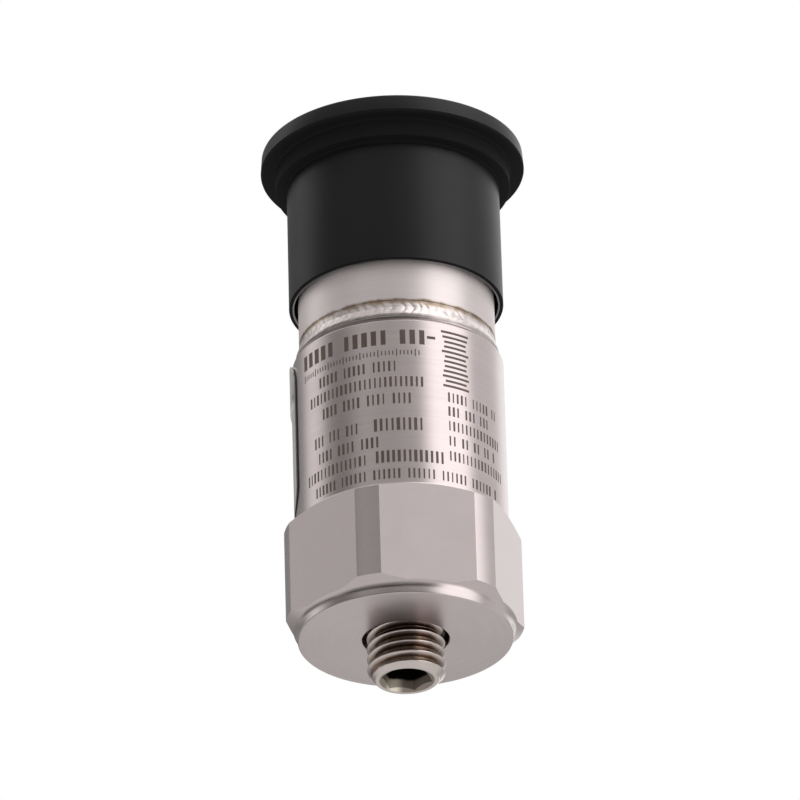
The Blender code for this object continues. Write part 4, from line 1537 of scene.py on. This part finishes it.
@dataclass
class ProtectiveCap:
    """The moulded push-on cap with its skirt, step ring and flange."""

    wall: float = 0.41 * MM
    draft: float = 0.03 * MM
    bore_clearance: float = 0.3 * MM
    ceiling_gap: float = 0.3 * MM
    flange_thickness: float = 1.55 * MM
    flange_draft: float = 0.12 * MM
    step_overhang: float = 0.91 * MM
    step_height: float = 1.53 * MM
    edge_radius: float = 0.12 * MM
    flange_edge_radius: float = 0.2 * MM
    fillet: float = 0.24 * MM
    ledge_depth: float = 0.05 * MM
    ledge_height: float = 0.32 * MM
    lip_width: float = 0.15 * MM
    lip_radius: float = 0.06 * MM
    gate_radius: float = 1.1 * MM
    gate_depth: float = 0.15 * MM
    gate_fillet: float = 0.08 * MM
    gate_edge_radius: float = 0.1 * MM
    gate_rows: int = 4
    ledge_fillet: float = 0.02 * MM
    columns: int = 240
    matt_band: ClassVar[int] = 1
    lip_band: ClassVar[int] = 2

    def build(self) -> bpy.types.Object:
        """Builds the cap.

        Returns:
            The dressed cap, which stands for the solid dust_cap.
        """
        low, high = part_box("dust_cap")
        shell_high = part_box("connector_shell")[1]
        bore = shell_high.x + self.bore_clearance
        ceiling = shell_high.z + self.ceiling_gap
        skirt = bore + self.wall
        waist = skirt - self.ledge_depth
        step = skirt + self.step_overhang
        flange_low = high.z - self.flange_thickness
        step_low = flange_low - self.step_height
        ledge = step_low - self.ledge_height
        gate = high.z - self.gate_depth
        matt, lip = self.matt_band, self.lip_band
        corners = [
            Corner(0.0, gate),
            Corner(self.gate_radius, gate, self.gate_fillet),
            Corner(self.gate_radius + self.gate_depth, high.z, self.gate_edge_radius, self.gate_rows),
            Corner(high.x - self.flange_draft, high.z, self.flange_edge_radius),
            Corner(high.x, flange_low, self.flange_edge_radius, band=matt),
            Corner(step, flange_low, self.fillet, band=matt),
            Corner(step, step_low, self.edge_radius, band=matt),
            Corner(waist, step_low, self.fillet, band=matt),
            Corner(waist, ledge),
            Corner(skirt, ledge - self.ledge_depth, self.ledge_fillet),
            Corner(skirt + self.draft, low.z, self.edge_radius / 2, band=matt),
            Corner(bore + self.lip_width, low.z, band=lip),
            Corner(bore, low.z, self.lip_radius, band=lip),
            Corner(bore, ceiling, self.edge_radius),
            Corner(0.0, ceiling),
        ]
        cap = surface("cap", turned_rings(corners, self.columns), even_columns(self.columns))
        dress(cap, CAP_PLASTIC, CAP_MATT, CAP_LIP)
        hand_over(cap, Body.CAP, Slot.CAP, "dust_cap")
        return cap


@dataclass(frozen=True)
class BarRow:
    """A row of etched bars: where it starts right of the camera, its level, and what its bars are like."""

    name: str
    start_deg: float
    end_deg: float
    level_mm: float
    height_mm: float
    spacing_mm: float = 0.4
    widths_mm: tuple[float, float] = (0.11, 0.22)
    blank_every: int = 99
    long_mm: float = 0.0
    long_every: int = 5
    rise_mm: float = 0.0
    bars: int = 0


@dataclass
class Markings:
    """The etched marks round the body, all generic: rows of bars, a scale and a ladder of level bars."""

    thickness: float = 0.02 * MM
    sink: float = 0.014 * MM
    rows: tuple[BarRow, ...] = (
        BarRow("mark_title", -60, 13, 22.8, 1.28, 0.78, (0.36, 0.5), 6),
        BarRow("mark_title_dash", 18.6, 18.6, 22.85, 0.24, 0.78, (0.7, 0.7)),
        BarRow("mark_scale", -61, 12, 21.4, 0.4, 0.3, (0.09, 0.09), long_mm=0.66),
        BarRow("mark_row_a", -47, 1, 20.2, 0.9, 0.42, (0.11, 0.22), 6),
        BarRow("mark_row_b", -55, 12, 18.8, 0.9, 0.42, (0.11, 0.24)),
        BarRow("mark_row_c", -45, 5, 17.3, 0.95, 0.42, (0.11, 0.24), 5),
        BarRow("mark_row_d", -52, -20, 15.0, 0.95, 0.42, (0.11, 0.22), 4),
        BarRow("mark_row_e", -13, 11, 15.0, 1.1, 0.46, (0.15, 0.3)),
        BarRow("mark_row_f", -49, -12, 13.5, 0.95, 0.42, (0.11, 0.22), 5),
        BarRow("mark_row_g", -59, -19, 12.05, 0.9, 0.42, (0.11, 0.22)),
        BarRow("mark_row_h", -12.5, 24, 12.15, 1.05, 0.44, (0.14, 0.28)),
        BarRow("mark_row_i", -52, 60, 10.6, 0.85, 0.4, (0.1, 0.2), 7),
        BarRow("mark_ladder", 33, 33, 18.75, 0.2, 0.0, (1.9, 2.6), rise_mm=0.44, bars=12),
        BarRow("mark_side_a", 28, 64, 17.75, 0.85, 0.4, (0.1, 0.2), 6),
        BarRow("mark_side_b", 28, 58, 16.5, 0.85, 0.4, (0.1, 0.2), 4),
        BarRow("mark_side_c", 28, 66, 15.2, 0.85, 0.4, (0.1, 0.2)),
        BarRow("mark_side_d", 28, 60, 13.85, 0.85, 0.4, (0.1, 0.2), 3),
        BarRow("mark_side_e", 28, 68, 12.5, 0.85, 0.4, (0.1, 0.2)),
    )

    def build_row(self, row: BarRow, seed: int) -> bpy.types.Object:
        """Builds one row of bars.

        Args:
            row: The row.
            seed: What the widths of its bars are drawn from.

        Returns:
            The row's piece.
        """
        radius = Case().body_radius
        length = math.radians(row.end_deg - row.start_deg) * radius
        least, most = row.widths_mm
        obj = put_in(row.name, bpy.data.meshes.new(row.name))
        ShapeGroups.wrapped_bars().shape(obj, {
            "Bars": row.bars or round(length / (row.spacing_mm * MM)) + 1, "Spacing": row.spacing_mm * MM,
            "Rise": row.rise_mm * MM, "Blank Every": row.blank_every, "Least Width": least * MM,
            "Most Width": most * MM, "Height": row.height_mm * MM,
            "Long Height": (row.long_mm or row.height_mm) * MM, "Long Every": row.long_every,
            "Azimuth": CAMERA_AZIMUTH + math.radians(row.start_deg), "Level": row.level_mm * MM,
            "Radius": radius, "Thickness": self.thickness, "Sink": self.sink, "Seed": seed,
            "Material": ETCHED.material()})
        bake(obj)
        hand_over(obj, Body.SENSOR, Slot.CASE)
        return obj

    def build(self) -> list[bpy.types.Object]:
        """Builds every row and returns them."""
        return [self.build_row(row, seed) for seed, row in enumerate(self.rows)]


@dataclass(frozen=True)
class Layer:
    """A layer of the side plate: its ends' inset, its edges' heights, its corners, rise and finish."""

    name: str
    inset: float
    low: float
    high: float
    corner: float
    rise: float
    finish: Finish


@dataclass
class SidePlate:
    """The blank plate round the body's side: a dark backing whose rim round the foil is a painted shadow
    line, a foil inset in it and a raised tag.
    """

    near_azimuth: float = CAMERA_AZIMUTH - math.radians(74)
    length: float = 14.2 * MM
    low: float = 11.05 * MM
    high: float = 24.3 * MM
    corner: float = 2.1 * MM
    shadow_rim: float = 0.26 * MM
    sink: float = 0.03 * MM
    shadow_backing_rise: float = 0.08 * MM
    foil_rise: float = 0.12 * MM
    tag_rise: float = 0.24 * MM
    tag_height: float = 4.0 * MM
    tag_inset: float = 0.5 * MM
    tag_gap: float = 0.05 * MM
    tag_corner: float = 1.1 * MM
    edge: float = 0.03 * MM
    softness: float = 0.3
    corner_columns: int = 14
    columns: int = 48

    def wrap(self, layer: Layer) -> bpy.types.Object:
        """Builds one wrapped layer with rounded corners.

        Args:
            layer: The layer.

        Returns:
            The dressed layer.
        """
        length = self.length - 2 * layer.inset
        corner, rise, edge = layer.corner, layer.rise, self.edge
        turn = np.linspace(0.0, TURN / 4, self.corner_columns)
        left = corner * (1 - np.cos(turn))
        middle = np.linspace(corner, length - corner, self.columns)[1:-1]
        along = np.concatenate((left, middle, length - left[::-1]))
        near = np.clip(corner - np.minimum(along, length - along), 0.0, corner)
        dip = corner - np.sqrt(corner ** 2 - near ** 2)
        top = layer.high - layer.low - dip
        soft = self.softness * edge
        profile = [
            (dip, -self.sink), (dip, rise - edge), (dip + soft, rise - soft), (dip + edge, rise),
            (dip + 2 * edge, rise), (top - 2 * edge, rise), (top - edge, rise), (top - soft, rise - soft),
            (top, rise - edge), (top, -self.sink)]
        count = len(along)
        points = np.concatenate([np.column_stack((along, np.full(count, out), height))
                                 for height, out in profile])
        here = np.arange(count - 1)
        faces = []
        for side in range(len(profile)):
            low = side * count
            high = (side + 1) % len(profile) * count
            faces += np.column_stack((low + here, low + here + 1, high + here + 1, high + here)).tolist()
        for end in (0, count - 1):
            faces.append([side * count + end for side in range(len(profile))])
        mesh = bpy.data.meshes.new(layer.name)
        mesh.from_pydata(points.tolist(), [], faces)
        plate = put_in(layer.name, mesh)
        radius = Case().body_radius
        ShapeGroups.wrap_round().shape(plate, {
            "Azimuth": self.near_azimuth - (length + layer.inset) / radius, "Level": layer.low,
            "Radius": radius, "Material": layer.finish.material()})
        bake(plate)
        close_up(plate.data)
        hand_over(plate, Body.SENSOR, Slot.CASE)
        return plate

    def build(self) -> list[bpy.types.Object]:
        """Builds the dark backing, whose rim is a painted shadow line, the foil and the tag, and returns
        them.
        """
        low, high, shadow_rim = self.low, self.high, self.shadow_rim
        layers = (
            Layer("plate_shadow_backing", 0.0, low, high, self.corner, self.shadow_backing_rise, SHADOW_BACKING),
            Layer("plate_foil", shadow_rim, low + shadow_rim, high - shadow_rim, self.corner - shadow_rim,
                  self.foil_rise, FOIL),
            Layer("plate_tag", self.tag_inset, high - self.tag_height, high - self.tag_gap, self.tag_corner,
                  self.tag_rise, FOIL),
        )
        return [self.wrap(layer) for layer in layers]


@dataclass(frozen=True)
class Card:
    """A soft card of the studio: where it stands as seen from the part, its reach, and its light."""

    azimuth: float
    elevation: float
    half_width: float
    half_height: float
    softness: float
    light: float


@dataclass
class Studio:
    """The camera, the soft light round the part and the pale floor far below it."""

    elevation: float = math.radians(-27.454)
    roll: float = math.radians(-1.66)
    distance: float = 752.5 * MM
    across: float = -0.4622 * MM
    rise: float = 19.10 * MM
    focal_length: float = 426.06
    sensor: float = 36.0
    clip: tuple[float, float] = (0.01, 100.0)
    floor_height: float = -0.9
    floor_size: float = 60.0
    level_light: float = 0.46
    upper_light: float = 0.85
    upper_ease: tuple[float, float] = (0.45, 0.9)
    lower_light: float = 0.72
    lower_ease: tuple[float, float] = (-0.1, -0.6)
    least_light: float = 0.02
    cards: tuple[Card, ...] = (
        Card(58, 20, 23.5, 62, 20, 1.18),
        Card(110, 27, 18, 50, 20, 0.26),
        Card(160, 33, 22, 30, 22, 0.7),
        Card(-110, 48, 13, 38, 22, 0.5),
        Card(-101, -9, 24, 12, 14, -0.3),
        Card(-13, 27, 14, 40, 20, -0.06),
        Card(-71, 27, 15, 40, 24, -0.25),
        Card(-154, 20, 18, 50, 16, -0.18),
        Card(-14, -20, 48, 31, 20, -0.38),
    )

    def place_camera(self) -> None:
        """Places the camera below the part, looking up at it."""
        forward = -direction(CAMERA_AZIMUTH, self.elevation)
        right = sideways(CAMERA_AZIMUTH)
        up = right.cross(forward)
        rolled_right = math.cos(self.roll) * right + math.sin(self.roll) * up
        rolled_up = math.cos(self.roll) * up - math.sin(self.roll) * right
        place = rolled_right * self.across + rolled_up * self.rise - forward * self.distance
        data = bpy.data.cameras.new("camera")
        data.lens = self.focal_length
        data.sensor_width = self.sensor
        data.clip_start, data.clip_end = self.clip
        camera = put_in("camera", data)
        camera.matrix_world = Matrix((*zip(rolled_right, rolled_up, -forward, place), (0.0, 0.0, 0.0, 1.0)))
        bpy.context.scene.camera = camera

    def card_light(self, sheet: NodeSheet, ray: Term, card: Card) -> Term:
        """The light that a card adds along a ray.

        Args:
            sheet: The world's node sheet.
            ray: The ray's direction.
            card: The card.

        Returns:
            The light, which is below 0 for a black card.
        """
        azimuth = CAMERA_AZIMUTH + math.radians(card.azimuth)
        forward = direction(azimuth, math.radians(card.elevation))
        side = sideways(azimuth)
        ahead = sheet.vector("DOT_PRODUCT", ray, tuple(forward), output="Value")
        soft = math.radians(card.softness) / 2
        share = ahead > 0.0
        for axis, reach in ((side, card.half_width), (forward.cross(side), card.half_height)):
            offset = sheet.math("ABSOLUTE", sheet.vector("DOT_PRODUCT", ray, tuple(axis), output="Value"))
            angle = sheet.math("ARCTAN2", offset, ahead)
            edge = math.radians(reach)
            share = share * (1.0 - sheet.ease(angle, edge - soft, edge + soft))
        return share * card.light

    def light_world(self) -> None:
        """Lights the part with a soft graded room and its cards, on a plain white background."""
        world = bpy.data.worlds.new("studio")
        world.use_nodes = True
        world.cycles.sampling_method = "NONE"
        bpy.context.scene.world = world
        world.node_tree.nodes.clear()
        sheet = NodeSheet(world.node_tree)
        ray = sheet.vector("NORMALIZE", sheet.term("ShaderNodeTexCoord", output="Generated"))
        height = sheet.split(ray)[2]
        light = sheet.between(sheet.ease(height, *self.upper_ease), self.level_light, self.upper_light)
        light = sheet.between(sheet.ease(height, *self.lower_ease), light, self.lower_light)
        for card in self.cards:
            light = light + self.card_light(sheet, ray, card)
        light = sheet.math("MAXIMUM", light, self.least_light)
        path = sheet.outputs(sheet.add("ShaderNodeLightPath"))
        plain = sheet.math("MAXIMUM", path["Is Camera Ray"], path["Is Diffuse Ray"])
        strength = sheet.between(plain, light, 1.0)
        background = sheet.term("ShaderNodeBackground", {0: (1.0, 1.0, 1.0, 1.0), 1: strength})
        sheet.add("ShaderNodeOutputWorld", {0: background})
        bpy.context.scene.view_settings.view_transform = "Standard"

    def lay_floor(self) -> None:
        """Lays a plain pale floor below the camera, so that it never comes between the two."""
        half = self.floor_size / 2
        corners = [(x * half, y * half, self.floor_height) for x, y in ((-1, -1), (1, -1), (1, 1), (-1, 1))]
        mesh = bpy.data.meshes.new("floor")
        mesh.from_pydata(corners, [], [(0, 1, 2, 3)])
        floor = put_in("floor", mesh)
        dress(floor, PALE_FLOOR)
        floor.visible_glossy = False

    def build(self) -> None:
        """Sets up the camera, the light and the floor."""
        self.place_camera()
        self.light_world()
        self.lay_floor()


def dress_inner_pieces() -> None:
    """Gives every sealed inner solid its finish."""
    for node, finish in INNER_FINISHES.items():
        dress(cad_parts[node], finish)
        LOG.info("%s: dressed as %s", node, finish.name)


def main() -> None:
    """Builds the sensor's visible pieces in order and sets up the studio."""
    logging.basicConfig(level=logging.INFO, format="%(name)s %(message)s")
    Case().build()
    MountingStud().build()
    WeldBead().build()
    Connector().build()
    ProtectiveCap().build()
    Markings().build()
    SidePlate().build()
    dress_inner_pieces()
    Studio().build()


if __name__ == "__main__":
    main()
